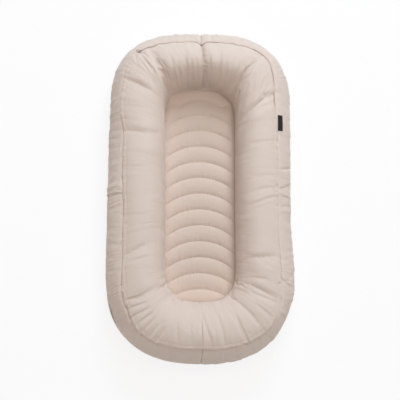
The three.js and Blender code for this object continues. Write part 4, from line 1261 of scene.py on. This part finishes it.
class LOUNGER_OT_seams(bpy.types.Operator):
    """Makes the raised seam edges and their stitches"""
    bl_idname = "lounger.seams"
    bl_label = "Seam edges"

    def execute(self, context):
        cover, colours, _ = given(context)
        cloth = made(cotton, "cover cotton", colours.cover)
        thread = made(twisted_thread, "sewing thread", colours.thread)
        turn = np.arange(SEAM_STATIONS) * 2 / SEAM_STATIONS
        for kind, half_width, half_height, lift, aside in SEAM_EDGES:
            path, across, out = cover.seam_frame(turn, kind)
            lean = noise(turn * 60, 0.5, 71, 120) * 0.5 + noise(turn * 180, 0.5, 72, 360) * 0.25
            stands = (1 + 0.25 * noise(turn * 90, 0.5, 73, 180))[:, None]
            rise, leaning = 0, 0.2
            if kind == "outer":
                # it leans over the crown at the head end, lies low in the groove of the tight side, and
                # sinks at the pucker
                over = over_crown(turn)
                lean, leaning = 0.6 * lean + 0.45 * over + 0.15, 1.0
                stands = stands * (1 - (0.35 * over + 0.65 * tight_side(turn))[:, None])
                rise = (0.6 * over - 6.0 * pucker(turn))[:, None]
            out = unit(out + across * lean[:, None] * leaning) * stands
            centre = path + (out * (lift + rise) + across * aside) * MM
            if kind == "base":
                centre[:, 2] = np.maximum(centre[:, 2], (half_height + 0.2) * MM)
            mesh = carried(f"{kind}_seam_welt", centre, across, out, oval(half_width, half_height, 12) * MM)
            new_piece(f"{kind}_seam_welt", mesh, cloth, replaces=(f"{kind}_seam_edge",))
        path, out = [], []
        for front, normals, run in shared["crown"]:
            column = int(np.argmin(np.abs(run - TOPSTITCH)))
            path.append(front[:-1, column])
            out.append(normals[:-1, column])
        path, out = np.concatenate(path), np.concatenate(out)
        mesh = stitches("outer_stitches", path + out * 0.1 * MM, out, 3.4 * MM, 0.72, 0.34 * MM)
        new_piece("outer_stitches", mesh, thread)
        return {"FINISHED"}


# The inside and the base

# The bolster's casing lies this far inside the band and the crown, with its floor at this height
INSIDE_BAND, INSIDE_CROWN, CASING_FLOOR = 8 * MM, 9 * MM, 4.2 * MM
PAD_LOW, PAD_TOP = 4.4 * MM, 16.6 * MM


def casing_skin(cover, first):
    """Half of the bolster's casing: at each turn a ring up inside the band, over inside the crown and back
    along the floor."""
    turn = np.linspace(first + 0.001, first + 0.999, 161)
    band = cover.cut_band(turn, np.linspace(0.04, 0.97, 9))
    crown = cover.cut_crown(turn, np.linspace(0.04, 0.985, 17))
    band, crown = band - grid_normals(band) * INSIDE_BAND, crown - grid_normals(crown) * INSIDE_CROWN
    skin = np.concatenate([band, crown], 1)
    skin[:, 0, 2] = skin[:, -1, 2] = CASING_FLOOR
    back = np.linspace(1, 0, 7)[None, 1:-1, None]
    return np.concatenate([skin, skin[:, [0]] + (skin[:, [-1]] - skin[:, [0]]) * back], 1)


class LOUNGER_OT_inner_cushion(bpy.types.Operator):
    """Makes the casings and the wadding inside the cover, and the two base sheets"""
    bl_idname = "lounger.inner_cushion"
    bl_label = "Inner cushion"

    def execute(self, context):
        cover, colours, _ = given(context)
        casing = made(cotton, "casing cloth", colours.casing, crinkle=0.4)
        for side, first in (("right", 0.0), ("left", 1.0)):
            ring = casing_skin(cover, first)
            mesh = new_mesh(f"bolster_casing_{side}", ring, tube_faces(*ring.shape[:2]), metric_uv(ring))
            nodes = (f"casing_{side}", f"bolster_filling_{side}")
            piece = new_piece(f"bolster_casing_{side}", mesh, casing, replaces=nodes)
        pad = filled_loop(cover.plan.inner, 1.0 * MM, 12, 40, 21)
        thinner = np.minimum(1, (1 - np.abs(np.linspace(-1, 1, 21))) / 0.1 + 0.6)[None, :]
        mesh = closed_sheet("centre_wadding", raised(pad, PAD_TOP * thinner), raised(pad, PAD_LOW))
        wadding = made(cotton, "pad wadding", colours.casing, crinkle=0.8, mottle=0.2)
        piece = new_piece("centre_wadding", mesh, wadding, replaces=("centre_pad",))
        cloth = made(cotton, "cover cotton", colours.cover)
        # each sheet's height, thickness and inset are in millimetres
        for name, height, thick, inset, material, slot, node in (
            ("casing_floor", 2.4, 1.0, 17.0, casing, "casing_cloth", "casing_base"),
            ("base_cloth", 0.4, 1.4, 12.6, cloth, "cover_cotton", "base_panel"),
        ):
            plan = filled_loop(cover.plan.outer, inset * MM, 30, 60, 61)
            wrinkle = noise(plan[..., 0] * 60, plan[..., 1] * 30, 81) * 0.25 * MM
            low = raised(plan, height * MM + np.maximum(wrinkle, -0.3 * MM))
            mesh = closed_sheet(name, low + [0, 0, thick * MM], low)
            piece = new_piece(name, mesh, material, replaces=(node,))
        return {"FINISHED"}


# The quilted panel

# Its edge lies this far inside the inner seam at the head end. The stitches lie at the first height, the
# underside at the second.
PANEL_EDGE = 2.6 * MM
STITCH_LEVEL, PANEL_LOW = 19.3 * MM, 17.4 * MM

# Half widths at which the first row of stitching turns up, with the length of the turn, and sags
TURN_UP, TURN_UP_OVER, SAG = 0.058, 0.018, 0.048


def row_of_stitches(sizes, plan, x, index):
    """Places y of a row of stitching at x: an arc of one radius, each a pitch nearer the foot."""
    drop = sizes.channel_radius - np.sqrt(np.maximum(sizes.channel_radius ** 2 - x ** 2, 0))
    return plan.inner.head - PANEL_EDGE - sizes.border - index * sizes.channel_pitch - drop


def first_row_bend(x):
    """How far the first row of stitching leaves its arc toward the head: it sags at mid half and turns up
    at the panel's edges."""
    up = smoothstep((np.abs(x) - TURN_UP) / TURN_UP_OVER)
    return 11 * MM * up - 8 * MM * bell(np.abs(x), SAG, 0.016)


def panel_face(sizes, plan, x, y):
    """Height of the quilted face over its stitches, distance to the nearest row, and distance past the
    first. A puff is |sin|^0.55 of the way across its channel, and above the first row, which is bent as
    first_row_bend says, lies a plain border."""
    pitch, bend = sizes.channel_pitch, first_row_bend(x)
    past = row_of_stitches(sizes, plan, x, 0) - y
    bent = np.where(past < -bend, past + bend, (past + bend) / (1 + bend / pitch))
    past = np.where(past < pitch, bent, past)
    puffed = sizes.puff * np.abs(np.sin(np.pi * past / pitch)) ** 0.55
    border = 3.6 * MM * np.clip(-past / (9 * MM), 0, 1) ** 0.5
    near = np.where(past < 0, -past, np.abs((past + pitch / 2) % pitch - pitch / 2))
    return np.where(past < 0, border, puffed), near, past


def from_border(grid):
    """Distance of each point of a plan from the nearest third point of its border, taken in parts."""
    border = np.concatenate([grid[0], grid[:, -1], grid[-1], grid[:, 0]])[::3]
    nearest = np.full(grid.shape[:-1], 1.0)
    for part in np.array_split(border, 12):
        nearest = np.minimum(nearest, np.sqrt(((grid[:, :, None] - part) ** 2).sum(-1)).min(-1))
    return nearest


def quilted_height(sizes, plan, grid):
    """Height of the panel: its face, tucked in at the border, with wrinkles beside the stitches, a soft
    unevenness, and gathers at the sides."""
    x, y = grid[..., 0], grid[..., 1]
    face, near, past = panel_face(sizes, plan, x, y)
    edge = from_border(grid)
    wrinkle = (np.abs(noise(x * 150, past * 22, 91)) - 0.35) * 1.5 * MM * fading(near, 7 * MM)
    wrinkle = wrinkle + noise(x * 40, y * 40, 92) * 0.5 * MM + noise(x * 110, y * 110, 93) * 0.15 * MM
    wrinkle = wrinkle * np.clip(edge / (4 * MM), 0, 1) * np.clip(near / (1.5 * MM) + 0.15, 0, 1)
    gathered = (np.abs(noise(x * 30, y * 130, 94)) - 0.3) * 1.2 * MM * fading(edge, 8 * MM)
    tuck = 1 - fading(edge, 7 * MM)
    return STITCH_LEVEL + face * tuck + wrinkle + gathered * np.clip(edge / (2 * MM), 0, 1)


def thread_rows(sizes, plan):
    """Lines of the rows of stitching, each cut off near the panel's rounded edge, where |x| reaches the half
    width times (1 - v^n)^(1/n), v the share of the way into a corner."""
    loop = plan.inner
    x = np.linspace(-1, 1, 161) * loop.foot_half
    for index in range(int((loop.head - loop.foot) / sizes.channel_pitch)):
        y = row_of_stitches(sizes, plan, x, index) + (first_row_bend(x) if index == 0 else 0)
        in_corner = np.maximum(y - (loop.head - loop.head_corner), loop.foot + loop.foot_corner - y)
        v, n = np.clip(in_corner / loop.head_corner, 0, 1), PANEL_SQUARENESS
        inside = np.abs(x) < (loop.foot_half - 3.4 * MM) * (1 - v ** n) ** (1 / n)
        if inside.sum() > 8:
            yield raised(np.stack([x[inside], y[inside]], -1), STITCH_LEVEL + 0.25 * MM)


class LOUNGER_OT_panel(bpy.types.Operator):
    """Makes the quilted lying panel and its rows of thread"""
    bl_idname = "lounger.panel"
    bl_label = "Quilted panel"

    def execute(self, context):
        cover, colours, sizes = given(context)
        plan = cover.plan
        # its cotton is darker than the cover's, in part painted shade of the well
        cloth = made(cotton, "panel cotton", colours.panel, crinkle=0.3)
        thread = made(twisted_thread, "sewing thread", colours.thread)
        grid = filled_loop(plan.inner, 0.9 * MM, 48, 260, 121)
        top, low = raised(grid, quilted_height(sizes, plan, grid)), raised(grid, PANEL_LOW)
        mesh = closed_sheet("quilted_panel", top, low)
        piece = new_piece("quilted_panel", mesh, cloth, replaces=("centre_panel",))
        for index, path in enumerate(thread_rows(sizes, plan)):
            out = np.tile([0.0, 0.0, 1.0], (len(path), 1))
            mesh = stitches(f"quilting_{index:02d}", path, out, 3.2 * MM, 0.75, 0.3 * MM, closed=False)
            new_piece(f"quilting_{index:02d}", mesh, thread)
        return {"FINISHED"}


# The zip

# All in millimetres. The tapes: how far from the zip's middle they reach, and how deep their faces lie.
TAPE_FROM, TAPE_TO, TAPE_FRONT, TAPE_BACK, TAPE_STEPS = 0.85, 12.0, 1.95, 2.65, 9

# One turn of a coil: how far each of the wire's points lies from the zip's middle and how deep, and how far
# along the zip the first lies before the turn's middle and the last past it
COIL_PITCH, WIRE_RADIUS, WIRE_SIDES = 1.25, 0.17, 5
TURN_REACH = (3.1, 2.6275, 2.155, 0.75, 2.155, 2.6275, 3.1)
TURN_DEPTH = (1.42, 1.42, 1.38, 1.1, 0.82, 0.78, 0.78)
TURN_SHIFT = 0.28

# The slider: half length and half width of its plates, and how far out of the band their faces lie
SLIDER_HALF, SLIDER_WIDE = 5.5, 4.4
FRONT_PLATE, BACK_PLATE = (-0.2, 1.0), (-4.3, -3.1)

# The pull: how far out of the band its pin lies, the pin's radius, the half width over its arms, where its
# tab starts and ends, and how long the tab's rounded end is
PIN_HEIGHT, PIN_RADIUS, PULL_WIDE = 1.8, 0.55, 2.1
TAB_FROM, TAB_TO, TAB_ROUND = 4, 24, 2.4


def prism(profile, low, high, axes=(1, 2, 0)):
    """A closed prism: an outline on two axes carried from low to high along the third, its faces turned
    outward."""
    profile = np.asarray(profile, float)
    count = len(profile)
    points = np.zeros((2 * count, 3))
    points[:, axes[0]], points[:, axes[1]] = np.tile(profile[:, 0], 2), np.tile(profile[:, 1], 2)
    points[:, axes[2]] = np.repeat([low, high], count)
    here, after = np.arange(count), np.roll(np.arange(count), -1)
    faces = [np.stack([here, after, count + after, count + here], -1), here[None, ::-1], count + here[None]]
    x, y = profile.T
    right_handed = axes in ((0, 1, 2), (1, 2, 0), (2, 0, 1))
    outward = (np.dot(x, np.roll(y, -1)) > np.dot(np.roll(x, -1), y)) == right_handed
    return points, faces if outward else [f[:, ::-1] for f in faces]


def block(low, high):
    """A box between two corners."""
    corners = [(low[1], low[2]), (high[1], low[2]), (high[1], high[2]), (low[1], high[2])]
    return prism(corners, low[0], high[0])


def signed_power(v, power):
    """The power of a number's size, with the number's sign."""
    return np.sign(v) * np.abs(v) ** power


def rounded(half_along, half_up, squareness, sides=40):
    """Superellipse outline: the signed 2/n powers of cosine and sine."""
    angle = np.linspace(0, 2 * np.pi, sides, endpoint=False)
    across, up = signed_power(np.cos(angle), 2 / squareness), signed_power(np.sin(angle), 2 / squareness)
    return np.stack([half_along * across, half_up * up], -1)


def hoop(half, rise):
    """Half a rounded rectangle on the slider's front plate: signed 0.55 powers of cosine and sine."""
    angle = np.linspace(0, np.pi, 19)
    foot = FRONT_PLATE[1] - 0.1
    return np.stack([half * signed_power(np.cos(angle), 0.55), foot + rise * np.sin(angle) ** 0.55], -1)


def slider_parts():
    """The slider: two plates that narrow a little toward the head end, the neck between them near the foot
    end, the flanges that guide the coils, and the bridge that holds the pull."""
    plate = rounded(SLIDER_HALF, SLIDER_WIDE, 4.2)
    plate[:, 1] *= 1 - 0.10 * np.clip(-plate[:, 0] / SLIDER_HALF, 0, 1) ** 2
    bridge = np.concatenate([hoop(3.0, 2.3), hoop(2.4, 1.7)[::-1]])
    return [
        prism(plate, *FRONT_PLATE), prism(plate, *BACK_PLATE), block((-4.3, 2.5, -0.45), (-0.2, 5.1, 0.45)),
        block((-1.45, -5.0, 3.5), (-0.2, 5.0, 4.3)), block((-1.45, -5.0, -4.3), (-0.2, 5.0, -3.5)),
        prism(bridge, -0.8, 0.8, (1, 0, 2)),
    ]


def pull_tab():
    """The pull's tab, which widens toward its rounded end and has a raised rim all round."""
    v, u = np.linspace(0, 1, 41)[:, None], np.linspace(-1, 1, 19)[None, :]
    down = TAB_FROM + (TAB_TO - TAB_FROM) * v
    in_round = np.clip((down - (TAB_TO - TAB_ROUND)) / TAB_ROUND, 0, 1)
    wide = (PULL_WIDE + 1.1 * v) * np.sqrt(np.maximum(1 - in_round ** 2.6, 0.02))
    edge = np.minimum(np.minimum((1 - np.abs(u)) * wide, down - TAB_FROM), TAB_TO - down)
    thick = 0.5 - 0.14 * np.clip((edge - 0.55) / 0.35, 0, 1)
    front = np.stack(np.broadcast_arrays(thick, down, u * wide), -1)
    rows, columns = front.shape[:2]
    first = rows * columns
    rim, after = rim_of(rows, columns)
    faces = [quads(rows, columns), quads(rows, columns, first=first)[:, ::-1]]
    faces.append(np.stack([rim, after, first + after, first + rim], -1))
    return np.concatenate([front.reshape(-1, 3), (front * [-1, 1, 1]).reshape(-1, 3)]), faces


def pull_parts():
    """The pull: its pin, two arms and the tab."""
    pin = prism(oval(PIN_RADIUS, PIN_RADIUS, 20), -PULL_WIDE, PULL_WIDE, (0, 1, 2))
    arms = [block((-0.5, -0.5, low), (0.5, 4.5, low + 1.0)) for low in (PULL_WIDE - 1.0, -PULL_WIDE)]
    return [pin, *arms, pull_tab()]


def cast_piece(name, parts, place, zinc, body, node, bevel):
    """Closed parts in a local frame, in millimetres, x out of the band, y toward the foot and z up, put in
    place as one piece."""
    point, out, along = place
    points, faces, first = [], [], 0
    for p, f in parts:
        points.append(p)
        faces += [g + first for g in f]
        first += len(p)
    local = np.concatenate(points) * MM
    world = point + local[:, :1] * out + local[:, 1:2] * along + local[:, 2:] * np.array([0, 0, 1.0])
    piece = new_piece(name, new_mesh(name, world, faces), zinc, body, (node,))
    edge = piece.modifiers.new("Bevel", "BEVEL")
    edge.width, edge.segments = bevel * MM, 3
    edge.limit_method, edge.angle_limit = "ANGLE", math.radians(35)
    edge.harden_normals = True
    return piece


def tape(name, line, up, inward, side):
    """A tape carried along the zip's line, above it (1) or below it (-1)."""
    across = np.linspace(TAPE_FROM, TAPE_TO, TAPE_STEPS)
    front = np.stack([across, np.full(TAPE_STEPS, TAPE_FRONT)], -1)
    back = np.stack([across[::-1], np.full(TAPE_STEPS, TAPE_BACK)], -1)
    profile = np.concatenate([front, back]) * MM
    profile[:, 0] *= side
    return carried(name, line, up, inward, profile if side < 0 else profile[::-1], closed=False)


def coil(name, line, inward, side):
    """A coil's turns along the zip's line, above it (1) or below it (-1), the two sides' half a pitch apart.
    Each turn is a bent wire from the tape to the other coil and back."""
    run = run_of(line)
    count = int(run[-1] / (COIL_PITCH * MM))
    place = (np.arange(count) + 0.5 + 0.25 * side) * COIL_PITCH * MM
    middle, back = sampled(line, run, place), unit(sampled(inward, run, place))
    ahead = unit(sampled(np.gradient(line, axis=0), run, place))
    bends = len(TURN_REACH)
    shift = np.linspace(-TURN_SHIFT, TURN_SHIFT, bends)
    turn = np.array([side * np.array(TURN_REACH), TURN_DEPTH, shift]) * MM
    reach, depth, shift = turn[:, None, :, None]
    spine = middle[:, None] + np.array([0, 0, 1.0]) * reach + back[:, None] * depth + ahead[:, None] * shift
    tangent = unit(np.gradient(spine, axis=1))
    first = unit(np.cross(tangent, ahead[:, None]))
    second = np.cross(tangent, first)
    angle = np.linspace(0, 2 * np.pi, WIRE_SIDES, endpoint=False)[:, None]
    ring = first[:, :, None] * np.cos(angle) + second[:, :, None] * np.sin(angle)
    points = spine[:, :, None] + ring * WIRE_RADIUS * MM
    return new_mesh(name, points, repeated(tube_faces(bends, WIRE_SIDES), count, bends * WIRE_SIDES))


class LOUNGER_OT_zip(bpy.types.Operator):
    """Makes the zip: tapes, coils, stops, slider and pull"""
    bl_idname = "lounger.zip"
    bl_label = "Zip"

    def execute(self, context):
        cover, colours, sizes = given(context)
        plan = cover.plan
        weave = made(cotton, "zip tape weave", colours.tape, thread=0.0005, crinkle=0.05, mottle=0.06)
        nylon = made(satin_nylon, "coil nylon", colours.coil)
        zinc = made(brushed_zinc, "satin zinc", colours.metal)
        turn = np.linspace(plan.turn_at(sizes.join_place - 0.3 * MM, -1), 1.9999, 360)
        outer, inward, *_ = plan.stations(turn)
        line, inward = raised(outer * [-1, 1], sizes.zip_height), raised(inward * [-1, 1], 0.0)
        up = np.tile([0.0, 0.0, 1.0], (len(turn), 1))
        for name, side in (("upper", 1), ("lower", -1)):
            mesh = tape(f"zip_tape_{name}_weave", line, up, inward, side)
            new_piece(f"zip_tape_{name}_weave", mesh, weave, replaces=(f"zip_tape_{name}",))
            mesh = coil(f"zip_coil_{name}_turns", line, inward, side)
            new_piece(f"zip_coil_{name}_turns", mesh, nylon, replaces=(f"zip_coil_{name}",))

        stop = [prism(rounded(1.5, 3.05, 6.0), -0.5, 0.1)]
        top = zip_frame(plan, sizes.join_place - STOP_FROM_JOIN)
        cast_piece("zip_top_stop_zinc", stop, top, zinc, BODY, "zip_top_stop", 0.14)
        end = np.array([-1.65 * MM, -sizes.length / 2, sizes.zip_height])
        end = end, np.array([0, -1.0, 0]), np.array([1.0, 0, 0])
        cast_piece("zip_end_stop_zinc", stop, end, zinc, BODY, "zip_end_stop", 0.14)
        point, out, along = slider_place(plan)
        place = point, out, along
        cast_piece("zip_slider_zinc", slider_parts(), place, zinc, "slider", "zip_slider", 0.22)
        place = point + out * PIN_HEIGHT * MM, out, along
        cast_piece("zip_pull_zinc", pull_parts(), place, zinc, "pull", "zip_pull", 0.16)
        return {"FINISHED"}


# The label and the stage

# The label: the places y of its two ends, and how far below the outer seam its edges lie along the band
LABEL_ENDS, LABEL_BELOW_SEAM, LABEL_THICK = (0.1555, 0.1945), (18 * MM, 4 * MM), 0.8 * MM
LABEL_ROWS, LABEL_COLUMNS = 65, 25

# Lights: name, place, size, power in watts and tint
LIGHTS = (
    ("key light", (0.5, 2.6, 2.2), 1.6, 73.0, (0.90, 1.0, 1.08)),
    ("top light", (0.2, 0.25, 2.7), 1.8, 34.0, (1.0, 0.97, 0.92)),
    ("right light", (2.3, 0.0, 0.9), 1.4, 7.0, (1.0, 0.9, 0.8)),
    ("left light", (-2.3, -0.3, 0.6), 1.4, 13.0, (1.0, 0.9, 0.8)),
    ("foot light", (0.4, -2.3, 0.7), 1.4, 12.5, (1.0, 0.97, 0.92)),
)
LIT_PLACE = Vector((0, 0, 0.06))
FLOOR_HALF, PAPER_WHITE, PAPER_GLOW = 6, (0.92, 0.92, 0.92, 1), 0.84
SKY_TINT, SKY_LEVEL = (1.0, 0.90, 0.83, 1), 0.02
SENSOR_WIDTH = 36.0


class LOUNGER_OT_label(bpy.types.Operator):
    """Makes the blank woven label on the right side band"""
    bl_idname = "lounger.label"
    bl_label = "Side label"

    def execute(self, context):
        cover, colours, _ = given(context)
        plan = cover.plan
        turn = np.linspace(*(plan.turn_at(y, 1) for y in LABEL_ENDS), LABEL_ROWS)
        row = np.linspace(*(1 - below / plan.band_length for below in LABEL_BELOW_SEAM), LABEL_COLUMNS)
        grid = cover.cut_band(turn, row)
        # it bows off the band at mid length, most at its lower edge, which curls a little
        bow = arch(np.linspace(0, 1, LABEL_ROWS))[:, None] * np.linspace(1, 0.2, LABEL_COLUMNS)[None]
        off = (bow * 0.5 + 1.3) * MM + 0.5 * MM * fading(np.arange(LABEL_COLUMNS), 3)[None]
        mesh = slab("side_label_weave", grid + grid_normals(grid) * off[..., None], LABEL_THICK)
        weave = made(cotton, "label satin", colours.label, thread=0.0004, sheen=0.1, crinkle=0.05)
        new_piece("side_label_weave", mesh, weave, replaces=("side_label",))
        return {"FINISHED"}


def white_floor():
    """A paper floor that also glows, by a share, in what the camera sees of it and in mirrors and glass."""
    half = FLOOR_HALF
    floor = bpy.data.meshes.new("floor")
    corners = [(-half, -half, 0), (half, -half, 0), (half, half, 0), (-half, half, 0)]
    floor.from_pydata(corners, [], [(0, 1, 2, 3)])
    n = Nodes("paper floor")
    n.finish(Base_Color=PAPER_WHITE, Roughness=0.95, Specular_IOR_Level=0.1)
    ray = n.add("ShaderNodeLightPath").outputs
    mirrored = n.maths("MAXIMUM", ray["Is Glossy Ray"], ray["Is Transmission Ray"])
    shown = n.maths("MAXIMUM", ray["Is Camera Ray"], mirrored)
    glow = n.add("ShaderNodeEmission", None, Color=(1, 1, 1, 1), Strength=1.0)
    blend = n.add("ShaderNodeMixShader", None, _0=n.maths("MULTIPLY", shown, PAPER_GLOW))
    n.tree.links.new(n.shader.outputs[0], blend.inputs[1])
    n.tree.links.new(glow.outputs[0], blend.inputs[2])
    n.tree.links.new(blend.outputs[0], n.tree.nodes["Material Output"].inputs[0])
    floor.materials.append(n.material)
    return bpy.data.objects.new("floor", floor)


def studio_world():
    """A world that the camera sees as white and that lights the room with a faint warm level."""
    world = bpy.data.worlds.new("studio")
    world.use_nodes = True
    tree = world.node_tree
    seen = tree.nodes.new("ShaderNodeLightPath").outputs["Is Camera Ray"]
    level = tree.nodes.new("ShaderNodeMapRange")
    level.inputs["To Min"].default_value = SKY_LEVEL
    level.inputs["To Max"].default_value = 1.0
    tint = tree.nodes.new("ShaderNodeMix")
    tint.data_type = "RGBA"
    tint.inputs[6].default_value, tint.inputs[7].default_value = SKY_TINT, (1, 1, 1, 1)
    tree.links.new(seen, level.inputs["Value"])
    tree.links.new(seen, tint.inputs[0])
    back = tree.nodes["Background"]
    tree.links.new(tint.outputs[2], back.inputs["Color"])
    tree.links.new(level.outputs[0], back.inputs["Strength"])
    return world


def area_lamp(name, place, size, power, tint):
    """A square light that faces the lounger."""
    light = bpy.data.lights.new(name, "AREA")
    light.size, light.energy, light.color = size, power, tint
    lamp = bpy.data.objects.new(name, light)
    lamp.location = place
    lamp.rotation_euler = (LIT_PLACE - Vector(place)).to_track_quat("-Z", "Y").to_euler()
    return lamp


def photo_camera():
    """The camera that took the photograph: its focus in pixels, over the photograph's width, is its lens
    over the sensor's."""
    lens = bpy.data.cameras.new("camera")
    lens.sensor_width, lens.lens = SENSOR_WIDTH, SENSOR_WIDTH * CAMERA_FOCUS / PHOTO_WIDTH
    lens.clip_start, lens.clip_end = 0.1, 30
    camera = bpy.data.objects.new("camera", lens)
    turned = Matrix((CAMERA_RIGHT, CAMERA_UP, CAMERA_BACK)).transposed().to_4x4()
    camera.matrix_world = Matrix.Translation(CAMERA_TARGET + CAMERA_BACK * CAMERA_DISTANCE) @ turned
    return camera


class LOUNGER_OT_stage(bpy.types.Operator):
    """Makes the floor, the studio lights and the camera"""
    bl_idname = "lounger.stage"
    bl_label = "Stage"

    def execute(self, context):
        scene = context.scene
        scene.view_settings.view_transform = "Standard"
        floor = white_floor()
        scene.collection.objects.link(floor)
        scene.world = studio_world()
        for light in LIGHTS:
            scene.collection.objects.link(area_lamp(*light))
        camera = photo_camera()
        scene.collection.objects.link(camera)
        scene.camera = camera
        return {"FINISHED"}


class LOUNGER_PT_panel(bpy.types.Panel):
    """Lists the lounger's pieces"""
    bl_idname = "LOUNGER_PT_panel"
    bl_label = "Infant lounger"
    bl_space_type = "VIEW_3D"
    bl_region_type = "UI"
    bl_category = "Lounger"

    def draw(self, context):
        for operator in OPERATORS:
            self.layout.operator(operator.bl_idname)


OPERATORS = (
    LOUNGER_OT_bumper, LOUNGER_OT_side_band, LOUNGER_OT_seams, LOUNGER_OT_inner_cushion,
    LOUNGER_OT_panel, LOUNGER_OT_zip, LOUNGER_OT_label, LOUNGER_OT_stage,
)
CLASSES = (LoungerSizes, LoungerColours, *OPERATORS, LOUNGER_PT_panel)


def register():
    for c in CLASSES:
        bpy.utils.register_class(c)
    bpy.types.Scene.lounger_sizes = PointerProperty(type=LoungerSizes)
    bpy.types.Scene.lounger_colours = PointerProperty(type=LoungerColours)


def unregister():
    del bpy.types.Scene.lounger_sizes
    del bpy.types.Scene.lounger_colours
    for c in reversed(CLASSES):
        bpy.utils.unregister_class(c)


def main():
    register()
    for operator in OPERATORS:
        make = getattr(bpy.ops.lounger, operator.bl_idname.split(".")[1])
        make()


if __name__ == "__main__":
    main()
